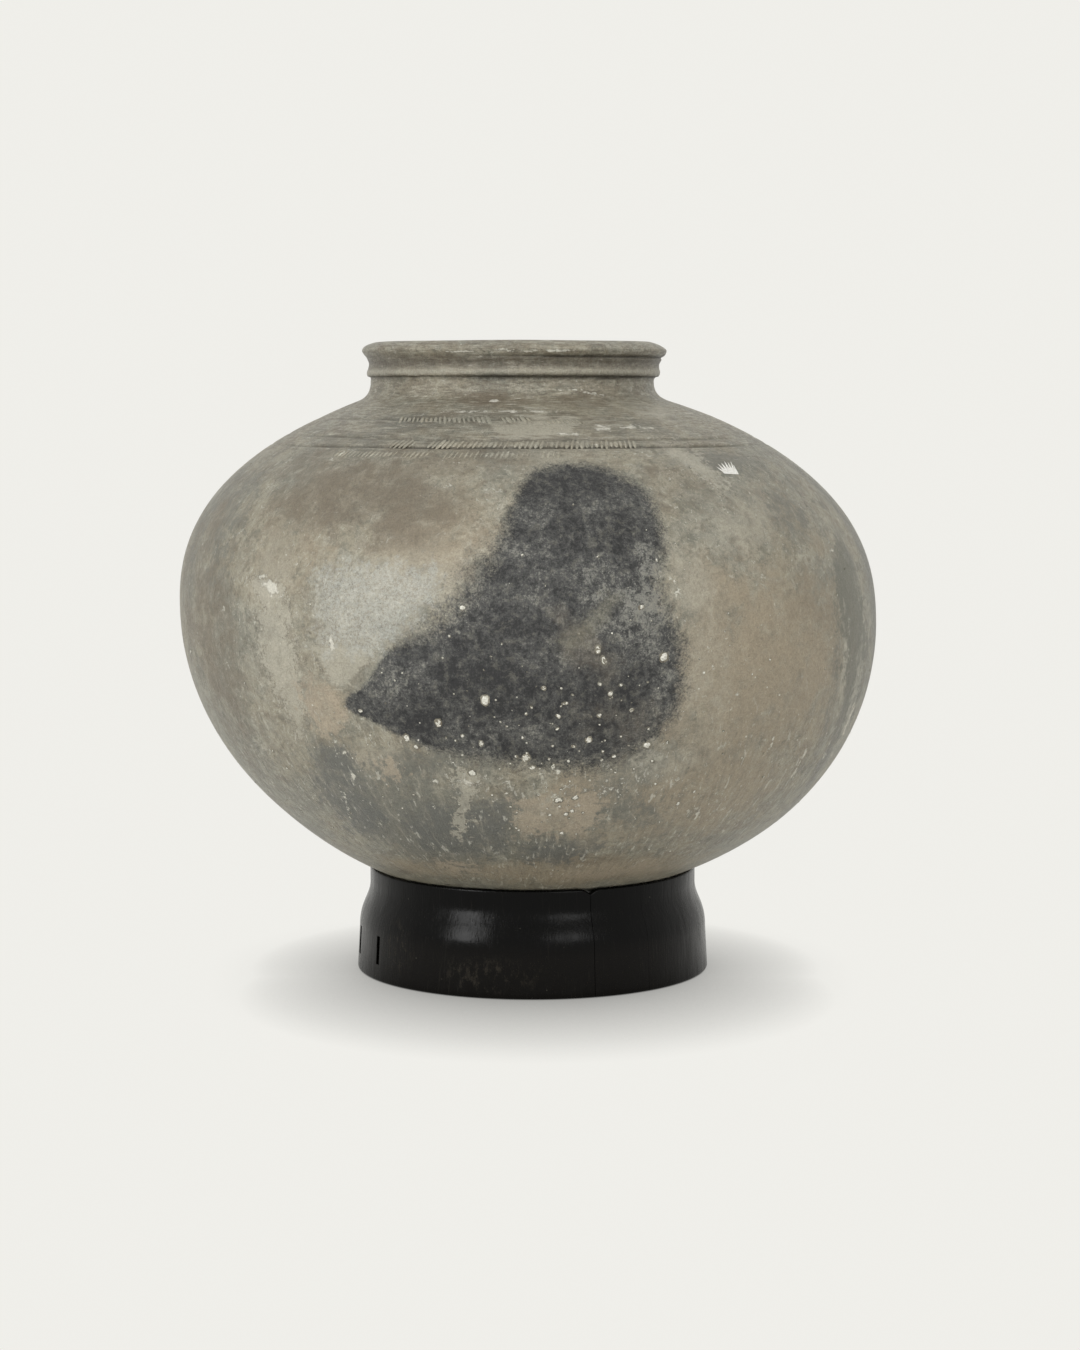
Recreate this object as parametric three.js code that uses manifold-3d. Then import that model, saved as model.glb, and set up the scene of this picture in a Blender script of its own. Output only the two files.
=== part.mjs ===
// A round-bottomed clay water pot, and the coopered wooden ring that it stands in.
// Millimetres, +Z up. The origin is on the floor, under the middle of the pot's widest circle.
// The pot's photographed side faces -Y.

import * as THREE from "three";
import { mergeVertices } from "three/addons/utils/BufferGeometryUtils.js";
import Module from "manifold-3d";

const wasm = await Module();
wasm.setup();

// The pot's body: a beaten round bottom, and a flatter shoulder that closes in to the neck.
const BELLY_RADIUS = 207;
const BELLY_DEPTH = 170.5; // widest circle down to the outside of the bottom
const SHOULDER_RISE = 144.7; // widest circle up to where the shoulder's curve would close
const SHOULDER_RADIUS_POWER = 1.57;
const SHOULDER_RISE_POWER = 2.43;
const BODY_WALL = 8;

// The body dried leaning to the left: its level circles drift sideways as they rise. The bottom
// keeps to the middle of the ring, and the neck was set upright, a little further to the left.
const LEAN = 0.046; // sideways drift per mm of height, at the widest circle
const LEAN_BOW = 8e-5; // how fast that drift grows above the widest circle, per mm
const LEAN_TOP = 133; // height above which the neck is upright
const LEAN_EASE_DEPTH = 110; // depth below which the drift eases back to the ring's middle
const LEAN_EASE = 2.7e-3; // how fast it eases back, per mm
const LEAN_END_DEPTH = 151; // depth below which the bottom is level
const NECK_SHIFT = 2;
const NECK_SHIFT_FROM = 116;
const NECK_SHIFT_TO = 130;

// The neck and the moulded rim. Heights are above the foot of the neck.
const NECK_RADIUS = 84.2;
const NECK_WALL = 8;
const NECK_FOOT_ROUND = 8.5;
const RIDGE_PROUD = 3;
const RIDGE_HEIGHT = 14.6;
const RIDGE_HALF_WIDTH = 3.2;
const WAIST_PROUD = 2.1;
const WAIST_HEIGHT = 18.7;
const LIP_PROUD = 7;
const LIP_HEIGHT = 27.1;
const LIP_TOP_DROP = 4.8; // level top of the lip down to its outer edge's level
const LIP_TOP_INSET = 8.5; // outer edge in to where the lip's top is level
const LIP_TOP_BEVEL = 1.1; // how far in the corner between the lip's edge and top is eased
const LIP_TOP_FALL = 1.6; // how far down that corner is eased
const LIP_UNDER_BOW = 2.3; // how far the underside bows above and below its middle
const LIP_INNER_ROUND = 3.5;

// Lines cut round the shoulder while the clay was soft, by their height above the widest circle.
const LINE_HEIGHTS = [101.2, 105, 116.2];
const LINE_WIDTH = 1.6;
const LINE_DEPTH = 0.7;

// The ring stand: staves glued edge to edge with a bamboo pin through each joint, then turned.
const STAVE_COUNT = 18;
const STAND_HEIGHT = 61.4; // floor to the outer edge of the seat
const BASE_RADIUS = 105.6;
const SKIRT_TOP_RADIUS = 104.3;
const SKIRT_TOP_HEIGHT = 25;
const COLLAR_RADIUS = 97.8;
const COLLAR_FOOT_HEIGHT = 50;
const SHOULDER_FULLNESS = 16; // how far up the skirt's line is held before the ring rounds in
const COLLAR_FOOT_FLARE = 1.8;
const COLLAR_FOOT_ROUND = 4;
const LIP_EDGE_ROUND = 1.6;
const FOOT_EDGE_ROUND = 1.2;
const BORE_RADIUS = 86;
const SEAT_GAP = 0.35; // pot to seat, straight up
const GLUE_LINE = 0.3;

// One joint has opened from floor to lip, and two beside each other have a slot cut through them.
const OPEN_JOINT = 10; // joint 9 is the one that faces the front
const OPEN_JOINT_GAP = 1;
const SLOTTED_JOINTS = [5, 6];
const SLOT_WIDTH = 4;
const SLOT_HEIGHT = 17;
const SLOT_FLOOR = 9.5; // floor up to the bottom of the slot

const PIN_RADIUS = 1.8;
const PIN_LENGTH = 15;
const PIN_HEIGHT = 36;
const PIN_CLEARANCE = 0.3;

const POT_SEGMENTS = 56;
const STAVE_SEGMENTS = 3;
const PIN_SEGMENTS = 10;
const CUT_MARGIN = 5; // how far a cutting solid runs past what it cuts

const earthenware = new THREE.MeshStandardMaterial({ color: 0x8c8676, roughness: 0.7, metalness: 0 });
const blackLacquer = new THREE.MeshStandardMaterial({ color: 0x171514, roughness: 0.35, metalness: 0 });
const bamboo = new THREE.MeshStandardMaterial({ color: 0xb79a62, roughness: 0.6, metalness: 0 });

// Depth of the body's outside below the widest circle, at a radius.
const bottomDepth = (radius) => BELLY_DEPTH * Math.sqrt(1 - (radius / BELLY_RADIUS) ** 2);

// Height of the shoulder's outside above the widest circle, at a radius, and the other way about.
const shoulderHeight = (radius) =>
  SHOULDER_RISE * (1 - (radius / BELLY_RADIUS) ** SHOULDER_RADIUS_POWER) ** (1 / SHOULDER_RISE_POWER);
const shoulderRadius = (height) =>
  BELLY_RADIUS * (1 - (height / SHOULDER_RISE) ** SHOULDER_RISE_POWER) ** (1 / SHOULDER_RADIUS_POWER);

// Sideways place of the middle of the pot's level circle, at a height above the widest circle.
function leanAt(height) {
  const held = Math.min(Math.max(height, -LEAN_END_DEPTH), LEAN_TOP);
  const above = Math.max(held, 0);
  const below = Math.max(-held - LEAN_EASE_DEPTH, 0);
  const shift = NECK_SHIFT * THREE.MathUtils.smoothstep(height, NECK_SHIFT_FROM, NECK_SHIFT_TO);
  return -LEAN * held - LEAN_BOW * above ** 2 - LEAN_EASE * below ** 2 - shift;
}

const SEAT_RADIUS = COLLAR_RADIUS - LIP_EDGE_ROUND;
const BELLY_HEIGHT = STAND_HEIGHT + SEAT_GAP + bottomDepth(SEAT_RADIUS);
const STAND_X = leanAt(-bottomDepth(SEAT_RADIUS));
const NECK_FOOT = shoulderHeight(NECK_RADIUS);

const point = (x, y) => new THREE.Vector2(x, y);

// The shoulder's outside from the widest circle up to the neck's foot, with the cut lines in it.
function shoulderOutline() {
  const steps = 10;
  const end = shoulderHeight(NECK_RADIUS + NECK_FOOT_ROUND);
  const heights = [];
  for (let i = 1; i <= steps; i++) {
    heights.push({ height: end * Math.sin((i / steps) * (Math.PI / 2)), depth: 0 });
  }
  const clear = heights.filter(({ height }) =>
    LINE_HEIGHTS.every((line) => height === end || Math.abs(height - line) > LINE_WIDTH),
  );
  for (const line of LINE_HEIGHTS) {
    clear.push({ height: line - LINE_WIDTH / 2, depth: 0 });
    clear.push({ height: line, depth: LINE_DEPTH });
    clear.push({ height: line + LINE_WIDTH / 2, depth: 0 });
  }
  clear.sort((a, b) => a.height - b.height);
  return clear.map(({ height, depth }) => point(shoulderRadius(height) - depth, height - depth));
}

// The neck and rim from the shoulder up over the lip and down to the inside of the neck's foot.
function rimOutline() {
  const top = NECK_FOOT + LIP_HEIGHT + LIP_TOP_DROP;
  const edge = NECK_RADIUS + LIP_PROUD;
  const inside = NECK_RADIUS - NECK_WALL;
  const ridge = NECK_FOOT + RIDGE_HEIGHT;
  const foot = NECK_RADIUS + NECK_FOOT_ROUND;
  const path = new THREE.Path();
  path.moveTo(foot, shoulderHeight(foot));
  path.quadraticCurveTo(NECK_RADIUS, NECK_FOOT, NECK_RADIUS, NECK_FOOT + NECK_FOOT_ROUND);
  path.lineTo(NECK_RADIUS + RIDGE_PROUD / 4, ridge - RIDGE_HALF_WIDTH);
  path.quadraticCurveTo(
    NECK_RADIUS + RIDGE_PROUD,
    ridge - RIDGE_HALF_WIDTH / 2,
    NECK_RADIUS + RIDGE_PROUD,
    ridge,
  );
  path.quadraticCurveTo(
    NECK_RADIUS + WAIST_PROUD,
    ridge + RIDGE_HALF_WIDTH / 2,
    NECK_RADIUS + WAIST_PROUD,
    NECK_FOOT + WAIST_HEIGHT,
  );
  path.bezierCurveTo(
    NECK_RADIUS + WAIST_PROUD,
    NECK_FOOT + WAIST_HEIGHT + LIP_UNDER_BOW,
    edge,
    NECK_FOOT + LIP_HEIGHT - LIP_UNDER_BOW,
    edge,
    NECK_FOOT + LIP_HEIGHT,
  );
  path.quadraticCurveTo(edge - LIP_TOP_BEVEL, top - LIP_TOP_FALL, edge - LIP_TOP_INSET, top);
  path.lineTo(inside + LIP_INNER_ROUND, top);
  path.quadraticCurveTo(inside, top, inside, top - LIP_INNER_ROUND);
  return path.getPoints(3);
}

// The inside, from the neck down to the middle of the bottom, one wall in from the outside.
function insideOutline() {
  const steps = 8;
  const scale = (BELLY_RADIUS - BODY_WALL) / BELLY_RADIUS;
  const neck = NECK_RADIUS - NECK_WALL;
  const outline = [];
  for (let i = steps; i >= 0; i--) {
    const height = shoulderHeight(neck / scale) * Math.sin((i / steps) * (Math.PI / 2));
    const drop = BODY_WALL * (height / SHOULDER_RISE);
    outline.push(point(shoulderRadius(height) * scale, height - drop));
  }
  for (let i = 1; i <= steps; i++) {
    const turn = (i / steps) * (Math.PI / 2);
    const radius = i === steps ? 0 : (BELLY_RADIUS - BODY_WALL) * Math.cos(turn);
    outline.push(point(radius, -(BELLY_DEPTH - BODY_WALL) * Math.sin(turn)));
  }
  return outline;
}

// The whole pot, one fired shell: the outline turned about its axis, then leaned.
function potGeometry() {
  const bottomSteps = 12;
  const bottom = [];
  for (let i = 0; i <= bottomSteps; i++) {
    const turn = (i / bottomSteps) * (Math.PI / 2);
    bottom.push(point(i === 0 ? 0 : BELLY_RADIUS * Math.sin(turn), -BELLY_DEPTH * Math.cos(turn)));
  }
  const rim = rimOutline();
  const outline = [...bottom, ...shoulderOutline(), ...rim.slice(1), ...insideOutline()];
  const geometry = new THREE.LatheGeometry(outline, POT_SEGMENTS);
  geometry.rotateX(Math.PI / 2);
  const places = geometry.getAttribute("position");
  for (let i = 0; i < places.count; i++) {
    places.setX(i, places.getX(i) + leanAt(places.getZ(i)));
  }
  return geometry;
}

// A closed three.js geometry as a solid that can be cut.
function solidOf(geometry) {
  const bare = geometry.clone();
  bare.deleteAttribute("normal");
  bare.deleteAttribute("uv");
  const merged = mergeVertices(bare, 1e-4);
  return new wasm.Manifold(
    new wasm.Mesh({
      numProp: 3,
      vertProperties: merged.getAttribute("position").array,
      triVerts: new Uint32Array(merged.index.array),
    }),
  );
}

// A cut solid as a three.js geometry.
function geometryOf(solid) {
  const mesh = solid.getMesh();
  const geometry = new THREE.BufferGeometry();
  geometry.setAttribute("position", new THREE.BufferAttribute(mesh.vertProperties, 3));
  geometry.setIndex(new THREE.BufferAttribute(mesh.triVerts, 1));
  geometry.computeVertexNormals();
  return geometry;
}

// The turned outline of the ring: skirt, shoulder, collar, and a seat that follows the pot.
function standOutline() {
  const seatSteps = 3;
  const seatHeight = (radius) => STAND_HEIGHT + bottomDepth(SEAT_RADIUS) - bottomDepth(radius);
  const shape = new THREE.Shape();
  shape.moveTo(BORE_RADIUS, 0);
  shape.lineTo(BASE_RADIUS - FOOT_EDGE_ROUND, 0);
  shape.lineTo(BASE_RADIUS, FOOT_EDGE_ROUND);
  shape.lineTo(SKIRT_TOP_RADIUS, SKIRT_TOP_HEIGHT);
  shape.bezierCurveTo(
    SKIRT_TOP_RADIUS,
    SKIRT_TOP_HEIGHT + SHOULDER_FULLNESS,
    COLLAR_RADIUS + COLLAR_FOOT_FLARE,
    COLLAR_FOOT_HEIGHT - COLLAR_FOOT_ROUND,
    COLLAR_RADIUS,
    COLLAR_FOOT_HEIGHT,
  );
  shape.lineTo(COLLAR_RADIUS, STAND_HEIGHT - LIP_EDGE_ROUND);
  shape.quadraticCurveTo(COLLAR_RADIUS, STAND_HEIGHT, SEAT_RADIUS, STAND_HEIGHT);
  for (let i = 1; i <= seatSteps; i++) {
    const radius = SEAT_RADIUS + ((BORE_RADIUS - SEAT_RADIUS) * i) / seatSteps;
    shape.lineTo(radius, seatHeight(radius));
  }
  shape.lineTo(BORE_RADIUS, 0);
  return shape.getPoints(4);
}

const JOINT_PITCH = (2 * Math.PI) / STAVE_COUNT;
const PIN_ORBIT = (BORE_RADIUS + SKIRT_TOP_RADIUS) / 2;

// Angle of a joint about the stand's axis. Joint STAVE_COUNT / 2 faces the front, -Y.
const jointAngle = (joint) => Math.PI / 2 + joint * JOINT_PITCH;

const jointGap = (joint) => (joint === OPEN_JOINT ? OPEN_JOINT_GAP : GLUE_LINE);

// A bamboo pin across a joint at angle 0, lying along Y, or the hole for it.
function pinGeometry(clearance) {
  const length = PIN_LENGTH + 2 * clearance;
  const geometry = new THREE.CylinderGeometry(PIN_RADIUS + clearance, PIN_RADIUS + clearance, length, PIN_SEGMENTS);
  return geometry.translate(PIN_ORBIT, 0, PIN_HEIGHT);
}

// One stave with its low-angle joint at angle 0: its share of the ring, less its pin holes and slots.
function staveGeometry(ring, joint) {
  const next = joint + 1;
  const before = jointGap(joint) / 2;
  const after = jointGap(next) / 2;
  const far = BASE_RADIUS + 4 * CUT_MARGIN;
  const cornerX = (after + before * Math.cos(JOINT_PITCH)) / Math.sin(JOINT_PITCH);
  const share = new THREE.Shape();
  share.moveTo(cornerX, before);
  share.lineTo(far, before);
  share.lineTo(cornerX + far * Math.cos(JOINT_PITCH), before + far * Math.sin(JOINT_PITCH));
  share.closePath();
  const wedge = new THREE.ExtrudeGeometry(share, {
    depth: STAND_HEIGHT + 2 * CUT_MARGIN,
    bevelEnabled: false,
  });
  let stave = ring.intersect(solidOf(wedge.translate(0, 0, -CUT_MARGIN)));
  const slot = new THREE.BoxGeometry(BASE_RADIUS - BORE_RADIUS + 2 * CUT_MARGIN, SLOT_WIDTH, SLOT_HEIGHT);
  slot.translate((BASE_RADIUS + BORE_RADIUS) / 2, 0, SLOT_FLOOR + SLOT_HEIGHT / 2);
  for (const [edge, turn] of [[joint, 0], [next, JOINT_PITCH]]) {
    stave = stave.subtract(solidOf(pinGeometry(PIN_CLEARANCE).rotateZ(turn)));
    if (SLOTTED_JOINTS.includes(edge)) {
      stave = stave.subtract(solidOf(slot.clone().rotateZ(turn)));
    }
  }
  return geometryOf(stave);
}

function buildStand() {
  const stand = new THREE.Group();
  stand.position.x = STAND_X;
  const turned = new THREE.LatheGeometry(standOutline(), STAVE_COUNT * STAVE_SEGMENTS);
  const ring = solidOf(turned.rotateX(Math.PI / 2).rotateZ(-Math.PI / 2));
  for (let joint = 0; joint < STAVE_COUNT; joint++) {
    const number = String(joint + 1).padStart(2, "0");
    const stave = new THREE.Mesh(staveGeometry(ring, joint), blackLacquer);
    stave.name = `stave_${number}`;
    const pin = new THREE.Mesh(pinGeometry(0), bamboo);
    pin.name = `bamboo_pin_${number}`;
    for (const piece of [stave, pin]) {
      piece.rotation.z = jointAngle(joint);
      stand.add(piece);
    }
  }
  return stand;
}

function buildPot() {
  const pot = new THREE.Mesh(potGeometry(), earthenware);
  pot.name = "clay_pot";
  pot.position.z = BELLY_HEIGHT;
  return pot;
}

const waterPot = new THREE.Group();
waterPot.add(buildStand(), buildPot());

export default waterPot;
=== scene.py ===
import math

import bpy
import numpy as np
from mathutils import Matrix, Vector, noise


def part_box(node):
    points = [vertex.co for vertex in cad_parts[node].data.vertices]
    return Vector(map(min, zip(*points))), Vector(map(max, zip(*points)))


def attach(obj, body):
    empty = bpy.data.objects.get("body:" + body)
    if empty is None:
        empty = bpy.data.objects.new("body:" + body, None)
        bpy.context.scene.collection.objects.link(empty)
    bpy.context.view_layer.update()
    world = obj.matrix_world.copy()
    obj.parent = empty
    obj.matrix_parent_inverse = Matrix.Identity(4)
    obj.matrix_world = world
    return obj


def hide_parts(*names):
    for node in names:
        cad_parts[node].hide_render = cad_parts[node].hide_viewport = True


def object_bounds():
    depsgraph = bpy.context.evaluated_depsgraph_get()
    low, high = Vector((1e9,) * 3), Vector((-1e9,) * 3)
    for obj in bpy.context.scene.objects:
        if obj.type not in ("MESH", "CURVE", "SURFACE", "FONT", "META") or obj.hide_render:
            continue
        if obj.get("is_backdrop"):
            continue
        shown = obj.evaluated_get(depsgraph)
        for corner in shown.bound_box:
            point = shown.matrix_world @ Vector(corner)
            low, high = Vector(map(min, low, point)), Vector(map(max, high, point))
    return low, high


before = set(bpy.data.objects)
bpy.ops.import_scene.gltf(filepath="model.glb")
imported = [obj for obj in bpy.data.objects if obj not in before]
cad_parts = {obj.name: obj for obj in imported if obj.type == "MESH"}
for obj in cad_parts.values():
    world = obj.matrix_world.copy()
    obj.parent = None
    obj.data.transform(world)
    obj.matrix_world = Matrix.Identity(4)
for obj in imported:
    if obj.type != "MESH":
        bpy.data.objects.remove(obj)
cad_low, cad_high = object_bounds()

# The eye is level with the pot's neck, a little right of its middle, and looks down at the belly.
EYE_DISTANCE = 1.68
EYE = Vector((0.0069, -EYE_DISTANCE, 0.3403))
LOOK_DROP = 0.165
LENS_MM = 75.03
FILM_MM = 36.0

camera_data = bpy.data.cameras.new("eye")
camera_data.sensor_fit = "VERTICAL"
camera_data.sensor_height = FILM_MM
camera_data.lens = LENS_MM
camera = bpy.data.objects.new("eye", camera_data)
camera.location = EYE
camera.rotation_euler = (math.pi / 2 - math.atan(LOOK_DROP / EYE_DISTANCE), 0, 0)
bpy.context.scene.collection.objects.link(camera)
bpy.context.scene.camera = camera

# Ring stand: eighteen short upright wooden staves, glued edge to edge, turned outside and
# bored inside, then lacquered black. One glue joint has sprung open from floor to lip, and
# two joints on the left have a slot cut through them. Each stave is one piece.
STAVE_COUNT = 18
STAVE_TURN = 2 * math.pi / STAVE_COUNT
BASE_RADIUS = 0.1056
SKIRT_TOP_RADIUS = 0.1043
SKIRT_TOP_HEIGHT = 0.025
SKIRT_ROWS = (0.0035, 0.006, 0.012, 0.0145, 0.017, 0.0195, 0.022)
SHOULDER_FULLNESS = 0.0135
COLLAR_RADIUS = 0.0978
COLLAR_FOOT_HEIGHT = 0.0515
COLLAR_COVE = 0.0003
COLLAR_COVE_RISE = 0.0095
COLLAR_ROWS = (0.0530, 0.0545, 0.0560, 0.0575, 0.0586)
LIP_ROUND = 0.0016
FOOT_ROUND = 0.0012
BORE_RADIUS = 0.086
SEAT_FALL = 0.0036
HAIRLINE = 0.00002
OPEN_JOINT = 10
OPEN_JOINT_GAP = 0.0003
CHIP_REACH = 0.0042
CHIP_DEPTH = 0.0026
SLOT_WIDTHS = {5: 0.0064, 6: 0.0036}
SLOT_FLOOR = 0.0097
SLOT_TOP = 0.0264
SLOT_EDGE = 0.00003
SLOT_CLEAR = 0.0004
PLANE_MARKS = 0.00014
MARKS_AROUND = 5.0
MARKS_UP = 45.0
MARKS_APART = 3.7
OUT_OF_TRUE = 0.00004
STAVE_STRIPS = 16
STAVE_SEED = 4

stave_names = [f"stave_{number:02d}" for number in range(1, STAVE_COUNT + 1)]
stave_boxes = [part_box(name) for name in stave_names]
stand_x = (min(low.x for low, _ in stave_boxes) + max(high.x for _, high in stave_boxes)) / 2
STAND_HEIGHT = max(high.z for _, high in stave_boxes)


def bezier(points, steps):
    """Points along a line, or a curve with one or two handles, its first point left out."""
    order = len(points) - 1
    run = []
    for step in range(1, steps + 1):
        t = step / steps
        shares = [math.comb(order, i) * (1 - t) ** (order - i) * t ** i for i in range(order + 1)]
        run.append(tuple(sum(s * p[k] for s, p in zip(shares, points)) for k in (0, 1)))
    return run


def stave_outline():
    """Radius and height up the outside, from the foot's edge over the shoulder to the lip."""
    outline = [(BASE_RADIUS - FOOT_ROUND, 0.0)]
    outline += bezier([outline[0], (BASE_RADIUS, 0.0), (BASE_RADIUS, FOOT_ROUND)], 4)
    lean = (BASE_RADIUS - SKIRT_TOP_RADIUS) / (SKIRT_TOP_HEIGHT - FOOT_ROUND)
    heights = sorted(SKIRT_ROWS + (SLOT_FLOOR, SLOT_FLOOR + SLOT_EDGE))
    outline += [(BASE_RADIUS - lean * (h - FOOT_ROUND), h) for h in heights]
    shoulder = [
        (SKIRT_TOP_RADIUS, SKIRT_TOP_HEIGHT),
        (SKIRT_TOP_RADIUS, SKIRT_TOP_HEIGHT + SHOULDER_FULLNESS),
        (COLLAR_RADIUS + COLLAR_COVE, COLLAR_FOOT_HEIGHT - COLLAR_COVE_RISE),
        (COLLAR_RADIUS, COLLAR_FOOT_HEIGHT),
    ]
    curve = [shoulder[0]] + bezier(shoulder, 20)
    radii, heights = zip(*curve)
    slot_tops = (SLOT_TOP, SLOT_TOP + SLOT_EDGE)
    curve = [p for p in curve if abs(p[1] - SLOT_TOP) > SLOT_CLEAR]
    curve += zip(np.interp(slot_tops, heights, radii), slot_tops)
    outline += sorted(curve, key=lambda p: p[1])
    outline += [(COLLAR_RADIUS, h) for h in COLLAR_ROWS]
    lip_foot = (COLLAR_RADIUS, STAND_HEIGHT - LIP_ROUND)
    lip = [lip_foot, (COLLAR_RADIUS, STAND_HEIGHT), (COLLAR_RADIUS - LIP_ROUND, STAND_HEIGHT)]
    return outline + [lip_foot] + bezier(lip, 5)


def stave_blank():
    """A stave before it is set in the ring: share of its width, radius and height as x, y, z."""
    outline = stave_outline()
    rows = len(outline)
    width = STAVE_STRIPS + 1
    shares = [0.5 - 0.5 * math.cos(math.pi * strip / STAVE_STRIPS) for strip in range(width)]
    points = [(share, radius, height) for radius, height in outline for share in shares]
    points += [(share, BORE_RADIUS, height) for _, height in outline for share in shares]
    inside = rows * width
    faces = []
    for row in range(rows - 1):
        first = row * width
        last = first + STAVE_STRIPS
        for a in range(first, last):
            b = a + inside
            faces.append((a, a + 1, a + 1 + width, a + width))
            faces.append((b + 1, b, b + width, b + 1 + width))
        faces.append((first + inside, first, first + width, first + width + inside))
        faces.append((last, last + inside, last + width + inside, last + width))
    for a in range(STAVE_STRIPS):
        b = (rows - 1) * width + a
        faces.append((a + 1, a, a + inside, a + 1 + inside))
        faces.append((b, b + 1, b + 1 + inside, b + inside))
    blank = bpy.data.meshes.new("stave_blank")
    blank.from_pydata(points, [], faces)
    return blank


class Value:
    """What a node gives. Arithmetic with it adds the nodes that work the result out."""

    def __init__(self, socket):
        self.socket = socket
        self.tree = socket.id_data

    def __add__(self, other):
        return calc("ADD", self, other)

    def __sub__(self, other):
        return calc("SUBTRACT", self, other)

    def __rsub__(self, other):
        return calc("SUBTRACT", other, self)

    def __mul__(self, other):
        return calc("MULTIPLY", self, other)

    def __truediv__(self, other):
        return calc("DIVIDE", self, other)

    def __rtruediv__(self, other):
        return calc("DIVIDE", other, self)

    def __abs__(self):
        return calc("ABSOLUTE", self)


def feed(made, inputs):
    """Gives a node its inputs: numbers and colours are set, values are linked."""
    for name, given in inputs.items():
        if isinstance(given, Value):
            given.tree.links.new(given.socket, made.inputs[name])
        else:
            made.inputs[name].default_value = given


def node(kind, inputs, tree=None, **settings):
    """A node in the tree that its inputs come from, or in the given one if they are plain."""
    tree = tree or next(given.tree for given in inputs.values() if isinstance(given, Value))
    made = tree.nodes.new(kind)
    for name, setting in settings.items():
        setattr(made, name, setting)
    feed(made, inputs)
    return made


def result(kind, inputs, output=0, **settings):
    """One of the things that a node like that gives."""
    return Value(node(kind, inputs, **settings).outputs[output])


def calc(operation, *numbers):
    return result("ShaderNodeMath", dict(enumerate(numbers)), operation=operation)


def larger(first, second):
    return calc("MAXIMUM", first, second)


def vector(x, y, z):
    return result("ShaderNodeCombineXYZ", {0: x, 1: y, 2: z})


def parts(place):
    """The x, y and z of a place."""
    return [Value(socket) for socket in node("ShaderNodeSeparateXYZ", {0: place}).outputs]


def ramp(given, low, high, to_low=0.0, to_high=1.0):
    """Eases a value from one range to another and holds it there."""
    inputs = {0: given, 1: low, 2: high, 3: to_low, 4: to_high}
    return result("ShaderNodeMapRange", inputs, interpolation_type="SMOOTHSTEP")


def grain(place, size, detail=3.0, roughness=0.55, warp=0.0):
    """Cloudy noise whose lumps are about the given size, from 0 to 1."""
    inputs = {"Vector": place, "Scale": 1 / size, "Detail": detail}
    return result("ShaderNodeTexNoise", inputs | {"Roughness": roughness, "Distortion": warp})


SOCKETS = {"shape": "NodeSocketGeometry", "place": "NodeSocketVector", "colour": "NodeSocketColor"}


def new_tree(name, kind, takes, gives):
    """A node tree with named inputs and outputs: its inputs by name, and its output node."""
    tree = bpy.data.node_groups.new(name, kind)
    for way, sockets in (("INPUT", takes), ("OUTPUT", gives)):
        for label, given in sockets.items():
            socket = SOCKETS.get(given, "NodeSocketFloat")
            made = tree.interface.new_socket(label, in_out=way, socket_type=socket)
            if isinstance(given, float):
                made.default_value = given
    inputs = tree.nodes.new("NodeGroupInput").outputs
    return tree, {label: Value(inputs[label]) for label in takes}, tree.nodes.new("NodeGroupOutput")


def stave_tree(finish):
    """Sets a blank in its place in the ring, cuts its slots and chips, and planes its outside."""
    takes = {"Blank": "shape", "Joint": 0.0, "Plane marks": 0.0, "Out of true": 0.0}
    for cut in ("Gap", "Slot", "Chip"):
        takes |= {cut + " before": 0.0, cut + " after": 0.0}
    gives = {"Stave": "shape"}
    tree, size, output = new_tree("stave in its ring", "GeometryNodeTree", takes, gives)
    share, radius, height = parts(result("GeometryNodeInputPosition", {}, tree=tree))
    rest = 1.0 - share
    above_floor = calc("GREATER_THAN", height, SLOT_FLOOR + SLOT_EDGE / 3)
    slotted = above_floor * calc("LESS_THAN", height, SLOT_TOP + SLOT_EDGE / 3)
    cut_back = {side: larger(size["Gap " + side], slotted * size["Slot " + side])
                for side in ("before", "after")}
    shift = cut_back["before"] * rest - cut_back["after"] * share
    turn = (size["Joint"] + share) * STAVE_TURN + shift / radius + math.pi / 2
    outside = calc("GREATER_THAN", radius, (BORE_RADIUS + COLLAR_RADIUS) / 2)
    around = size["Joint"] * MARKS_APART + turn * MARKS_AROUND
    marks = grain(vector(around, height * MARKS_UP, size["Joint"]), 1.0, 1.0) * size["Plane marks"]
    tilt = abs(size["Out of true"]) + (share * 2.0 - 1.0) * size["Out of true"]
    cut = radius - (marks + tilt) * outside
    fall = larger(height - SKIRT_TOP_HEIGHT, 0.0) * (SEAT_FALL / (STAND_HEIGHT - SKIRT_TOP_HEIGHT))
    level = height - fall * (1.0 - outside)
    near_lip = ramp(height, COLLAR_FOOT_HEIGHT, STAND_HEIGHT)
    for edge, side in ((share, "before"), (rest, "after")):
        chip = larger(1.0 - edge * (STAVE_TURN * COLLAR_RADIUS / CHIP_REACH), 0.0)
        level = level - chip * near_lip * size["Chip " + side]
    spot = vector(calc("COSINE", turn) * cut + stand_x, calc("SINE", turn) * cut, level)
    placed = result("GeometryNodeSetPosition", {"Geometry": size["Blank"], "Position": spot})
    placed = result("GeometryNodeRealizeInstances", {0: placed})
    placed = result("GeometryNodeSetMaterial", {"Geometry": placed, "Material": finish})
    feed(output, {"Stave": placed})
    return tree


SHARP_CORNER = math.radians(38)


def show(name, mesh):
    """An object at the origin of the shared frame, smooth but for its sharp corners."""
    mesh.shade_smooth()
    mesh.set_sharp_from_angle(angle=SHARP_CORNER)
    piece = bpy.data.objects.new(name, mesh)
    bpy.context.scene.collection.objects.link(piece)
    return piece


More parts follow.
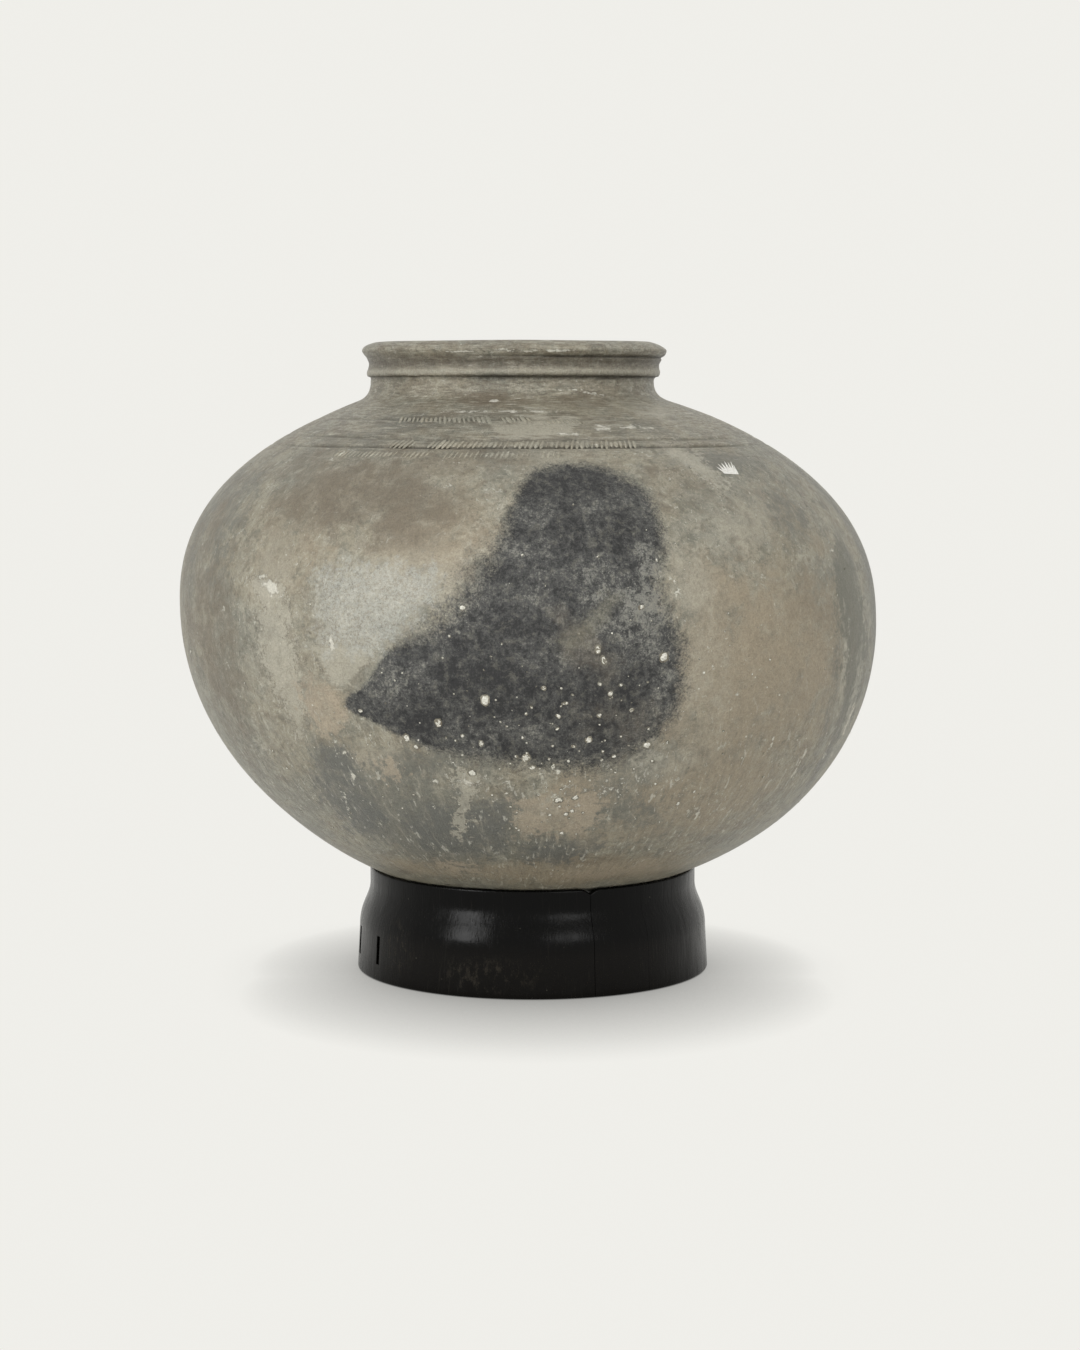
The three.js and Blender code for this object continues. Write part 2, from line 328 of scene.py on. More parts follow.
def grow(name, mesh, tree, sizes):
    """Runs a mesh through a node tree with its sizes, and keeps the result as a plain piece."""
    source = bpy.data.objects.new(name + "_source", mesh)
    bpy.context.scene.collection.objects.link(source)
    growth = source.modifiers.new("growth", "NODES")
    growth.node_group = tree
    for item in tree.interface.items_tree:
        if item.in_out == "INPUT" and item.name in sizes:
            growth[item.identifier] = sizes[item.name]
    grown = source.evaluated_get(bpy.context.evaluated_depsgraph_get())
    kept = bpy.data.meshes.new_from_object(grown)
    bpy.data.objects.remove(source)
    return show(name, kept)


def tint(factor, first, second, mode="MIX"):
    """Lays one colour over another."""
    inputs = {0: factor, 6: first, 7: second}
    return result("ShaderNodeMix", inputs, 2, data_type="RGBA", blend_type=mode)


def coats(tone, *layers):
    """Lays colours over another one by one, each where its mask says."""
    for mask, coat in layers:
        tone = tint(mask, tone, coat)
    return tone


def stretched(place, scale, turn=(0, 0, 0)):
    return result("ShaderNodeMapping", {"Vector": place, "Rotation": turn, "Scale": scale})


def bump(height, strength, distance):
    inputs = {"Strength": strength, "Distance": distance, "Height": height}
    return result("ShaderNodeBump", inputs)


def colour(red, green, blue):
    """A colour as an eye reads it off a screen, 0 to 255, made linear."""
    return tuple(math.pow(v / 255, 2.2) for v in (red, green, blue)) + (1.0,)


def new_material(name):
    """A material, its surface shader and the place on the piece that it shades."""
    material = bpy.data.materials.new(name)
    material.use_nodes = True
    place = result("ShaderNodeTexCoord", {}, "Object", tree=material.node_tree)
    return material, material.node_tree.nodes["Principled BSDF"], place


def patch(place, centre, size):
    """1 in the middle of an egg-shaped place, 0 at its edge and beyond."""
    inputs = {"Vector": place, "Location": centre, "Scale": size}
    moved = result("ShaderNodeMapping", inputs, vector_type="TEXTURE")
    return ramp(result("ShaderNodeVectorMath", {0: moved}, "Value", operation="LENGTH"), 1.0, 0.25)


def speck_group():
    """Round specks of dust or lime: at most one to a cell, the given share of the cells."""
    takes = {"Place": "place", "Cell": 0.004, "Reach": 0.1, "Share": 0.3}
    tree, size, output = new_tree("specks", "ShaderNodeTree", takes, {"Mask": "value"})
    cells = node("ShaderNodeTexVoronoi", {"Vector": size["Place"], "Scale": 1.0 / size["Cell"]})
    picks = node("ShaderNodeSeparateColor", {0: Value(cells.outputs["Color"])}).outputs
    reach = size["Reach"] * (Value(picks[1]) + 0.4)
    speck = ramp(reach - Value(cells.outputs["Distance"]), 0.0, 0.04)
    feed(output, {"Mask": speck * calc("LESS_THAN", Value(picks[0]), size["Share"])})
    return tree


specks = speck_group()


def speckle(place, cell, reach, share):
    inputs = {"Place": place, "Cell": cell, "Reach": reach, "Share": share}
    return result("ShaderNodeGroup", inputs, node_tree=specks)


LACQUER_BLACK = colour(6, 6, 6)
LACQUER_FLOOR_REFLECTION = colour(20, 18, 16)
RUBBED_WOOD = colour(60, 55, 47)
DUST = colour(104, 100, 91)
LEFT_RUB = ((-0.0745, -0.0620, 0.0220), (0.016, 0.03, 0.022))
FRONT_RUB = ((-0.0220, -0.1000, 0.0130), (0.040, 0.03, 0.014))


def black_lacquer():
    material, surface, place = new_material("worn black lacquer")
    wood = grain(stretched(place, (1, 1, 0.06)), 0.0011, 4, 0.6)
    broad = grain(stretched(place, (1, 1, 0.25)), 0.010, 4, 0.6)
    peel = grain(place, 0.0035, 2)
    rub = grain(stretched(place, (1, 1, 0.6)), 0.004, 6, 0.75)
    worn = larger(patch(place, *LEFT_RUB), patch(place, *FRONT_RUB)) * ramp(rub, 0.49, 0.64)
    # Painted light: the skirt is painted lighter towards the foot, a painted reflection of the pale
    # floor.
    skirt_reflection = ramp(parts(place)[2], 0.034, 0.022)
    black = coats(
        LACQUER_BLACK,
        (skirt_reflection * 0.8, LACQUER_FLOOR_REFLECTION),
        (ramp(wood, 0.58, 0.78, 0, 0.15), RUBBED_WOOD),
        (worn * 0.45, RUBBED_WOOD),
        (speckle(place, 0.005, 0.07, 0.22) * 0.35, DUST),
    )
    rough = ramp(broad, 0.35, 0.65, 0.17, 0.27) + worn * 0.25
    feed(surface, {
        "Base Color": black,
        "Roughness": rough + ramp(wood, 0.5, 0.75, 0, 0.12),
        "Specular IOR Level": 0.12,
        "Normal": bump(wood * 0.6 + peel * 0.4 + rub * 0.2 + broad * 2.0, 0.4, 0.0004),
    })
    return material


lacquered_stave = stave_tree(black_lacquer())
trueness = np.random.default_rng(STAVE_SEED).uniform(-OUT_OF_TRUE, OUT_OF_TRUE, STAVE_COUNT)
for joint in range(STAVE_COUNT):
    sizes = {"Joint": float(joint), "Plane marks": PLANE_MARKS, "Out of true": trueness[joint]}
    for side, beside in (("before", joint), ("after", joint + 1)):
        is_open = beside == OPEN_JOINT
        sizes["Gap " + side] = (OPEN_JOINT_GAP if is_open else HAIRLINE) / 2
        sizes["Slot " + side] = SLOT_WIDTHS.get(beside, 0.0) / 2
        sizes["Chip " + side] = CHIP_DEPTH if is_open else 0.0
    stave = grow(f"lacquered_{stave_names[joint]}", stave_blank(), lacquered_stave, sizes)
    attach(stave, "stand")
    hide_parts(stave_names[joint])

# Pins: a short round of split bamboo across each stave joint, glued into blind holes. They
# are inside the wood and show only if the ring is taken apart.
BAMBOO_PALE = colour(196, 170, 116)
BAMBOO_DARK = colour(150, 120, 72)


def split_bamboo():
    material, surface, place = new_material("split bamboo")
    fibre = grain(stretched(place, (1, 1, 0.2)), 0.0006, 4, 0.6)
    feed(surface, {
        "Base Color": tint(fibre, BAMBOO_PALE, BAMBOO_DARK),
        "Roughness": ramp(fibre, 0.3, 0.7, 0.5, 0.7),
        "Normal": bump(fibre, 0.4, 0.0002),
    })
    return material


bamboo = split_bamboo()
for name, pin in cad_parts.items():
    if name.startswith("bamboo_pin"):
        pin.data.materials.clear()
        pin.data.materials.append(bamboo)

# Clay pot: one shell of low-fired earthenware, coiled, then beaten thin between a paddle and
# an anvil, so that its round bottom and belly carry faint dents. The neck, the ridge and the
# rolled rim were shaped on a wheel. It leaned a little to the left as it dried.
BELLY_DEPTH = 0.1705
SHOULDER_RISE = 0.1447
SHOULDER_RADIUS_POWER = 1.57
SHOULDER_RISE_POWER = 2.43
BODY_WALL = 0.008
LEAN = 0.046
LEAN_BOW = 0.08
LEAN_TOP = 0.133
LEAN_EASE_DEPTH = 0.110
LEAN_EASE = 2.7
LEAN_END_DEPTH = 0.151
NECK_SHIFT = 0.002
NECK_SHIFT_FROM = 0.116
NECK_SHIFT_TO = 0.130
NECK_RADIUS = 0.0842
NECK_WALL = 0.008
NECK_FOOT_ROUND = 0.0085
RIDGE_PROUD = 0.003
RIDGE_HEIGHT = 0.0146
RIDGE_HALF_WIDTH = 0.0032
RIDGE_COVE = 0.0021
WAIST_PROUD = 0.0021
WAIST_HEIGHT = 0.0187
LIP_PROUD = 0.0062
LIP_TOP_DROP = 0.0048
LIP_TOP_INSET = 0.0085
LIP_TOP_BEVEL = 0.0012
LIP_TOP_FALL = 0.0018
LIP_UNDER_BOW = 0.0023
NECK_WANDER = (
    (0.1385, 0.0), (0.1405, 0.0005), (0.1436, 0.0008), (0.1480, 0.0011), (0.1520, 0.0017),
    (0.1560, 0.0012), (0.1590, 0.0004),
)
LIP_INNER_ROUND = 0.0035
LIP_INNER_STEPS = 4
LIP_GROOVE_DROP = 0.0093
LIP_GROOVE_DEPTH = 0.0014
LIP_GROOVE_HALF_WIDTH = 0.0008
# The dents come from a noise on a round wall about as wide as the pot's, narrower at the neck.
NOISE_RADIUS = 0.2
NOISE_RADIUS_AT_NECK = 0.09
SHOULDER_TOP = 0.118
PADDLE_DENT = 0.0006
PADDLE_SIZE = 0.048
PADDLED_SHARE = 0.35
PEBBLE_SHARE = 0.2
PEBBLE_SIZE = PADDLE_SIZE * 0.35
DENTS_FADE = 0.03
WHEEL_MARK = 0.0003
WHEEL_PITCH = 0.0028
WHEELED_FROM = 0.09
WHEELED_EASE = 0.02
WHEEL_SMOOTHING = 0.6
WHEEL_MARK_PATCHES = 1.5
RIM_WAVE = 0.0006
RIM_WAVE_FROM = 0.145
RIM_WAVE_EASE = 0.012
RIM_WAVES = 1.6
RIM_WAVE_SEED = 7.3
# Each line that was cut round the shoulder: its height, half width and depth.
LINES = ((0.1012, 0.0005, 0.0010), (0.1050, 0.0006, 0.0006), (0.1162, 0.0007, 0.0004))
LINES_FROM = LINES[0][0] - 0.004
LINE_WANDER = 0.0005
LINE_WANDERS = 2
LINES_DIFFER = 90
LINE_CLIMB = 0.0037
LINE_CLIMBS_FROM = 0.35
LINE_FAINTEST = 0.2
LINE_KEPT_FROM = 0.35
LINE_KEPT_EASE = 0.4
LIP_GROOVE_FAINTEST = 0.08
LIP_GROOVE_EASE = 1.6
# Rows of points up the shoulder: up to which height, and how many. They lie closer at the lines.
SHOULDER_ROWS = ((0.097, 25), (0.1085, 30), (0.1145, 4), (0.1185, 9))
NECK_ROWS = 7
COLUMNS = 400
MIDDLE_HOLE = 0.0005
MM = 0.001

pot_low, pot_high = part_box("clay_pot")
BELLY_RADIUS = pot_high.x
BELLY_HEIGHT = pot_low.z + BELLY_DEPTH
RIM_TOP = pot_high.z - BELLY_HEIGHT


def body_radius(height):
    """Outside radius at a height above the widest circle."""
    if height <= 0:
        return BELLY_RADIUS * math.sqrt(max(0.0, 1 - (height / BELLY_DEPTH) ** 2))
    share = (height / SHOULDER_RISE) ** SHOULDER_RISE_POWER
    return BELLY_RADIUS * max(0.0, 1 - share) ** (1 / SHOULDER_RADIUS_POWER)


def shoulder_height(radius):
    share = (radius / BELLY_RADIUS) ** SHOULDER_RADIUS_POWER
    return SHOULDER_RISE * (1 - share) ** (1 / SHOULDER_RISE_POWER)


def eased(share):
    share = min(max(share, 0.0), 1.0)
    return share * share * (3 - 2 * share)


def lean_at(height):
    """How far right the middle of the level circle at a height lies."""
    held = min(max(height, -LEAN_END_DEPTH), LEAN_TOP)
    above = max(held, 0.0)
    below = max(-held - LEAN_EASE_DEPTH, 0.0)
    shift = NECK_SHIFT * eased((height - NECK_SHIFT_FROM) / (NECK_SHIFT_TO - NECK_SHIFT_FROM))
    return -LEAN * held - LEAN_BOW * above * above - LEAN_EASE * below * below - shift


def even_steps(low, high, count):
    return [low + (high - low) * step / count for step in range(1, count + 1)]


def body_section():
    """Radius and height from the bottom's middle up to the foot of the neck."""
    section = [(MIDDLE_HOLE, -BELLY_DEPTH)]
    for turn in even_steps(0, math.pi / 2, 50):
        section.append((BELLY_RADIUS * math.sin(turn), -BELLY_DEPTH * math.cos(turn)))
    low = 0.0
    foot = shoulder_height(NECK_RADIUS + NECK_FOOT_ROUND)
    for high, count in SHOULDER_ROWS + ((foot, NECK_ROWS),):
        section += [(body_radius(h), h) for h in even_steps(low, high, count)]
        low = high
    return section


def neck_section():
    """Radius and height up the neck, over the ridge and the rim, and down inside the neck."""
    foot = shoulder_height(NECK_RADIUS)
    ridge = foot + RIDGE_HEIGHT
    under = ridge - RIDGE_HALF_WIDTH
    waist = foot + WAIST_HEIGHT
    lip = RIM_TOP - LIP_TOP_DROP
    edge = NECK_RADIUS + LIP_PROUD
    inner = NECK_RADIUS - NECK_WALL
    ridge_out = NECK_RADIUS + RIDGE_PROUD
    waist_out = NECK_RADIUS + WAIST_PROUD
    wide = NECK_RADIUS + NECK_FOOT_ROUND
    top_of_foot = (NECK_RADIUS, foot + NECK_FOOT_ROUND)
    cove = (NECK_RADIUS, under - RIDGE_COVE)
    bead = (NECK_RADIUS + RIDGE_PROUD / 2, under)
    curves = (
        ((wide, shoulder_height(wide)), [(NECK_RADIUS, foot)], top_of_foot, 9),
        (top_of_foot, [], cove, 3),
        (cove, [(NECK_RADIUS, under)], bead, 4),
        (bead, [(ridge_out, under)], (ridge_out, ridge), 6),
        ((ridge_out, ridge), [(waist_out, ridge + RIDGE_HALF_WIDTH / 2)], (waist_out, waist), 5),
        ((waist_out, waist), [(waist_out, waist + LIP_UNDER_BOW), (edge, lip - LIP_UNDER_BOW)],
         (edge, lip), 20),
        ((edge, lip), [(edge - LIP_TOP_BEVEL, RIM_TOP - LIP_TOP_FALL)],
         (edge - LIP_TOP_INSET, RIM_TOP), 7),
    )
    section = []
    for start, handles, end, steps in curves:
        section += bezier([start, *handles, end], steps)
    turn_in = (inner + LIP_INNER_ROUND, RIM_TOP)
    round_end = (inner, RIM_TOP - LIP_INNER_ROUND)
    return section + [turn_in] + bezier([turn_in, (inner, RIM_TOP), round_end], LIP_INNER_STEPS)


def inside_section():
    """Radius and height from the foot of the neck down to the bottom's middle, inside."""
    scale = (BELLY_RADIUS - BODY_WALL) / BELLY_RADIUS
    neck = shoulder_height((NECK_RADIUS - NECK_WALL) / scale)
    section = []
    for turn in [math.pi / 2] + even_steps(math.pi / 2, 0, 13):
        height = neck * math.sin(turn)
        section.append((body_radius(height) * scale, height * (1 - BODY_WALL / SHOULDER_RISE)))
    for turn in even_steps(0, math.pi / 2, 14):
        radius = max(MIDDLE_HOLE, (BELLY_RADIUS - BODY_WALL) * math.cos(turn))
        section.append((radius, -(BELLY_DEPTH - BODY_WALL) * math.sin(turn)))
    return section


def half_noise(x, y, z):
    """Noise at a place, from 0 to 1."""
    return 0.5 + 0.5 * noise.noise(Vector((x, y, z)))


def line_height(base, azimuth):
    """A line cut by hand: its height wanders, and the middle one climbs on the left."""
    x, y = math.cos(azimuth) * LINE_WANDERS, math.sin(azimuth) * LINE_WANDERS
    wander = LINE_WANDER * noise.noise(Vector((x, y, base * LINES_DIFFER)))
    on_left = max(0.0, -math.sin(azimuth) - LINE_CLIMBS_FROM)
    return base + wander + (LINE_CLIMB * on_left if base == LINES[1][0] else 0.0)


def bell(off, width):
    return math.exp(-(off / width) ** 2)


def cut_depths(azimuth, height):
    """Depth of the cut lines and of the groove under the lip, which is faint on the left."""
    kept = eased((abs(math.cos(azimuth)) - LINE_KEPT_FROM) / LINE_KEPT_EASE)
    lines = sum(d * bell(height - line_height(h, azimuth), w) for h, w, d in LINES)
    lines *= LINE_FAINTEST + (1 - LINE_FAINTEST) * kept
    kept = min(1.0, max(0.0, 0.5 + math.sin(azimuth) * LIP_GROOVE_EASE))
    groove = LIP_GROOVE_DEPTH * (LIP_GROOVE_FAINTEST + (1 - LIP_GROOVE_FAINTEST) * kept)
    off = height - (RIM_TOP - LIP_GROOVE_DROP)
    return lines, groove * bell(off, LIP_GROOVE_HALF_WIDTH)


def sink(azimuth, height):
    """How far the real surface lies inside the smooth turned outline."""
    x, y = math.sin(azimuth), -math.cos(azimuth)
    radius = NOISE_RADIUS if height < SHOULDER_TOP else NOISE_RADIUS_AT_NECK
    spot = Vector((x * radius, y * radius, height))
    depth = PADDLE_DENT * max(0.0, PADDLED_SHARE + 0.5 * noise.noise(spot / PADDLE_SIZE))
    depth += PADDLE_DENT * PEBBLE_SHARE * half_noise(*(spot / PEBBLE_SIZE))
    if height > WHEELED_FROM:
        wheeled = min(1.0, (height - WHEELED_FROM) / WHEELED_EASE)
        around = (x * WHEEL_MARK_PATCHES, y * WHEEL_MARK_PATCHES)
        mark = half_noise(*around, height / WHEEL_PITCH)
        depth = depth * (1 - WHEEL_SMOOTHING * wheeled) + wheeled * WHEEL_MARK * mark
    return depth


def on_pot(azimuth, height, proud=0.0):
    """A place on the pot's beaten outside, by its angle right of the front and its height."""
    radius = body_radius(height) + proud - sink(azimuth, height)
    if height > LINES_FROM:
        radius -= cut_depths(azimuth, height)[0]
    x = radius * math.sin(azimuth) + lean_at(height)
    return Vector((x, -radius * math.cos(azimuth), height + BELLY_HEIGHT))


def rightward(azimuth):
    return Vector((math.cos(azimuth), math.sin(azimuth), 0))


def upward(azimuth, height):
    """The way up the pot's wall, over a few millimetres."""
    reach = 3 * MM
    return (on_pot(azimuth, height + reach) - on_pot(azimuth, height - reach)).normalized()


def make_pot():
    """The shell, its points, and each point's angle, height, way along the section, painted
    shade in its cuts, and 1 on the outside."""
    body, neck, inside = body_section(), neck_section(), inside_section()
    section = body + neck + inside
    outer_rows = len(body) + len(neck)
    sunk_rows = outer_rows - LIP_INNER_STEPS - 1
    points, traits = [], []
    run = 0.0
    for row, (radius, height) in enumerate(section):
        before = section[max(row - 1, 0)]
        run += math.hypot(radius - before[0], height - before[1])
        for column in range(COLUMNS):
            azimuth = 2 * math.pi * column / COLUMNS
            r, h, cut_shade = radius, height, 0.0
            if row < sunk_rows:
                r -= sink(azimuth, height) * min(1.0, radius / DENTS_FADE)
                if height > LINES_FROM:
                    lines, groove = cut_depths(azimuth, height)
                    r -= lines + groove
                    h -= lines if row < len(body) else 0.0
                    cut_shade = (lines + groove) / MM
            if height > RIM_WAVE_FROM:
                around = (math.cos(azimuth) * RIM_WAVES, math.sin(azimuth) * RIM_WAVES)
                wave = RIM_WAVE * half_noise(*around, RIM_WAVE_SEED)
                h -= wave * min(1.0, (height - RIM_WAVE_FROM) / RIM_WAVE_EASE)
            x = r * math.sin(azimuth) + lean_at(h)
            if height > NECK_WANDER[0][0]:
                x += float(np.interp(h, *zip(*NECK_WANDER)))
            points.append((x, -r * math.cos(azimuth), h + BELLY_HEIGHT))
            traits.append((azimuth, h, run, cut_shade, row < outer_rows))
    faces = []
    last = (len(section) - 1) * COLUMNS
    for first in range(0, last, COLUMNS):
        for column in range(COLUMNS):
            a = first + column
            b = first + (column + 1) % COLUMNS
            faces.append((a, b, b + COLUMNS, a + COLUMNS))
    faces.append(tuple(range(COLUMNS - 1, -1, -1)))
    faces.append(tuple(range(last, last + COLUMNS)))
    shell = bpy.data.meshes.new("clay_shell")
    shell.from_pydata(points, [], faces)
    return show("clay_shell", shell), np.array(points), np.array(traits).T


def add_attribute(mesh, name, values, kind="FLOAT"):
    layer = mesh.attributes.new(name, kind, "POINT")
    key = "value" if kind == "FLOAT" else "vector"
    layer.data.foreach_set(key, np.asarray(values, np.float32).ravel())


# The fire cloud is where the pot lay against smoking fuel. Its outline is given as it is seen
# from the front, in millimetres: right of the middle, above the floor, and how far it fades.
CLOUD_OUTLINE = (
    (2, 300, 5), (18, 305, 4), (44, 302, 5), (66, 288, 6), (73, 264, 7), (70, 240, 11),
    (82, 214, 10), (82, 180, 8), (64, 156, 8), (30, 143, 11), (-14, 147, 9), (-52, 154, 4),
    (-79, 166, 2), (-99, 177, 2), (-86, 189, 2), (-72, 208, 4), (-50, 222, 14), (-31, 245, 18),
    (-15, 266, 10), (-7, 286, 6),
)

# Where the rouletted bands lie: height, first and last degree right of the front, the ridges'
# length and slant. The bands are darkened with painted shade between the ridges.
BANDS = (
    (0.0972, -41, 12, 0.0060, 16),
    (0.1026, -28, 33, 0.0082, 18),
    (0.1158, -33, 6, 0.0088, -18),
    (0.1148, 6, 18, 0.0060, -18),
)
BAND_PAINTED_SHADE = 0.33
BAND_FADE = 8

# Stains, by kind: degrees right of the front, then in millimetres the height above the widest
# circle, half width and half height, then degrees turned and strength.
STAINS = {
    "crust": (
        (-43, 26.5, 14, 3.4, -22, 1.15), (-40.5, 20, 2.2, 9, 16, 0.7),
        (-45.5, 6, 1.6, 18, 0, 0.55), (-54.5, 10.6, 3.5, 4, 0, 0.7), (-30.4, -3, 2.2, 6, 0, 1.05),
        (-31, -16, 1, 16, 0, 0.5), (-32.6, -78, 2, 8, -24, 0.85), (-46.8, -96, 1.6, 10, -36, 0.75),
        (-38, -96, 1.8, 12, -30, 0.75), (-33, -64, 10, 6, -30, 0.5), (-11, -76, 6, 8, 0, 0.75),
        (-16, -77, 3, 4, 0, 0.85), (3, 154.5, 16, 1.2, 0, 0.85), (15, 154.5, 10, 1.1, 0, 0.85),
        (-14, 154, 16, 0.9, 0, 0.7), (21, 133, 14, 1, 0, 0.92), (33, 130.5, 12, 1.2, -10, 0.85),
        (-10, 120.5, 16, 1, 0, 0.75), (4, 120.5, 18, 0.9, 0, 0.82), (-20, 120.5, 10, 1, 0, 0.75),
        (-6, 126.2, 4, 0.8, 0, 1), (32, 111.5, 14, 2.2, 0, 0.8), (22, 111.5, 8, 2, 0, 0.9),
        (12, 108.5, 10, 1.2, 0, 0.85), (32, -98, 1.8, 8, 10, 0.95), (43, -60, 1.8, 7, 8, 0.95),
        (54, -76, 1.8, 10, 10, 0.95), (69, -55, 3, 18, 10, 0.85), (63, -68, 2.2, 16, 10, 0.85),
        (61, -10, 2.2, 16, 0, 0.55), (60, 43, 5, 4, 0, 0.75), (24, 30, 5, 3, 0, 0.75),
        (34, -10, 30, 30, 0, 0.25), (10, -80, 60, 12, 0, 0.4), (-12, 92, 14, 2, 0, 0.6),
        (-40, 30, 30, 30, 0, 0.2), (120, 40, 30, 50, 20, 0.6), (-150, 20, 40, 30, -20, 0.6),
    ),
    "cream": (
        (-45, 24, 18, 5, -20, 0.7), (-40, -30, 16, 20, 0, 0.4), (68, -50, 8, 40, 6, 0.8),
        (60, -30, 6, 40, 4, 0.7), (36, 94, 6, 16, 50, 0.9), (50, 40, 12, 8, 20, 0.5),
        (-6, 58, 6, 30, -38, 0.4), (-52, -55, 6, 30, -12, 0.5), (46, 118, 20, 6, -8, 0.7),
        (-30, 94, 20, 8, 0, 0.3), (19, -64, 12, 12, 0, 0.7), (2, -82, 10, 16, 0, 0.5),
    ),
    "pale": (
        (-20, 30, 40, 20, 10, 0.6), (8, 100, 30, 10, 0, 0.7), (38, 60, 34, 20, 15, 0.6),
        (26, 30, 14, 20, 0, 0.7), (66, 30, 12, 50, 18, 0.5), (-44, -20, 30, 60, 0, 0.3),
        (-26, -64, 20, 12, -20, 0.6), (-42, 40, 16, 20, 0, 0.6), (-22, 133, 30, 6, 0, 0.5),
        (30, 137, 30, 4, 0, 0.4), (-45, 112, 20, 6, 0, 0.4), (28, -20, 20, 40, 0, 0.5),
        (22, -70, 30, 10, 10, 0.6),
    ),
    "warm": (
        (40, -20, 75, 60, 0, 0.9), (34, -85, 60, 35, 0, 0.8), (12, -136, 80, 10, 0, 1),
        (-30, -136, 30, 6, 0, 1), (-40, 45, 36, 24, 0, 0.5), (-14, 50, 36, 22, 20, 0.7),
        (30, 25, 24, 20, 0, 0.7), (8, -84, 20, 13, 0, 1), (-33, -34, 12, 16, 0, 0.7),
        (-27, -66, 16, 8, 0, 0.6), (50, 50, 40, 30, 0, 0.4), (12, -112, 16, 10, 0, 0.7),
    ),
    "brown": (
        (-33, 78, 50, 22, 6, 0.95), (-19, 72, 36, 16, -10, 0.95), (-20, 56, 30, 10, 0, 0.7),
        (-60, -10, 30, 70, 0, 0.7), (-10, 94, 40, 8, 0, 0.6), (-40, 55, 10, 22, -30, 0.5),
        (-8, 127.5, 28, 5, 0, 0.9), (22, 126, 30, 4, 0, 0.6), (30, 77, 18, 12, 0, 0.5),
        (-70, 30, 40, 70, 0, 0.6), (9, -6, 12, 30, 35, 0.6), (50, 10, 30, 20, 0, 0.3),
        (14, -45, 30, 20, 0, 0.4), (6, -128, 40, 6, 0, 0.5), (150, 30, 80, 60, 15, 0.8),
        (26, 88, 4, 3, 0, 1), (-46, 90, 26, 10, 0, 0.8),
    ),
    "smoke": (
        (4, -98, 60, 14, 0, 0.3), (-12, -104, 40, 20, -6, 0.6), (-27, -112, 34, 20, -20, 0.9),
        (14, -78, 30, 10, 12, 0.5), (-24, -88, 30, 14, -10, 0.7), (-36, -80, 26, 28, -24, 0.4),
        (-31, 114.5, 22, 4.5, 0, 0.9), (-46, 104, 30, 8, 0, 0.4), (24, 112, 24, 7, 0, 0.4),
        (80, 0, 16, 90, 8, 1), (66, -86, 10, 36, 18, 0.7), (17, -94, 26, 12, 0, 0.6),
        (44, 92.5, 30, 6, 0, 0.8), (52, 64, 20, 12, 0, 0.6), (-140, -50, 70, 40, -10, 0.7),
        (-60, 60, 20, 40, 20, 0.5), (58, -40, 6, 50, 8, 0.5), (-18, -76, 12, 8, 0, 0.5),
        (-33, 20, 10, 20, 0, 0.3), (-72, 60, 16, 50, 10, 0.5), (-18, -68, 34, 9, 4, 0.8),
        (18, -66, 12, 8, 0, 1.1), (-4, -90, 16, 10, 0, 0.5), (-36, 104, 20, 10, 0, 0.5),
        (60, 20, 6, 24, 0, 0.9), (66, 36, 8, 16, 10, 0.7), (64, -44, 8, 20, 10, 0.6),
    ),
    # Ash lightens the cloud. The strongest lumps, 12 to 20 degrees right and 16 to 34 mm up, also
    # stand in for the front box's sheen there: a painted sheen.
    "ash_and_sheen": (
        (17.5, 16, 18, 18, 0, 1.2), (12, 34, 22, 14, -20, 0.7), (1, 48, 16, 6, 0, 0.5),
        (19, 33, 9, 20, 0, 1.3), (14, 72, 14, 5, 0, 0.8), (2, 66, 10, 5, 0, 0.7),
        (-11, 22, 14, 20, -30, 0.6), (20, -20, 6, 24, 0, 0.5), (-20, -20, 16, 10, 30, 0.5),
        (-2, -46, 30, 6, 0, 0.5), (10, 8, 16, 8, 40, 0.8), (11, 21, 8, 8, 0, 0.9),
        (4, 44, 10, 6, 0, 0.6),
    ),
    "coal": (
        (-8, -24, 22, 16, 0, 1.3), (6, 50, 20, 12, 0, 0.7), (14, 58, 16, 18, 0, 1),
        (12, 84, 30, 6, -8, 0.9), (-6, 0, 20, 14, 20, 1), (8, -38, 36, 12, 0, 0.8),
        (0, 78, 10, 12, 0, 0.8), (-17, -42, 26, 14, 30, 0.5), (-2, 34, 10, 8, 0, 0.5),
        (-8, -29, 12, 8, 0, 1),
    ),
}
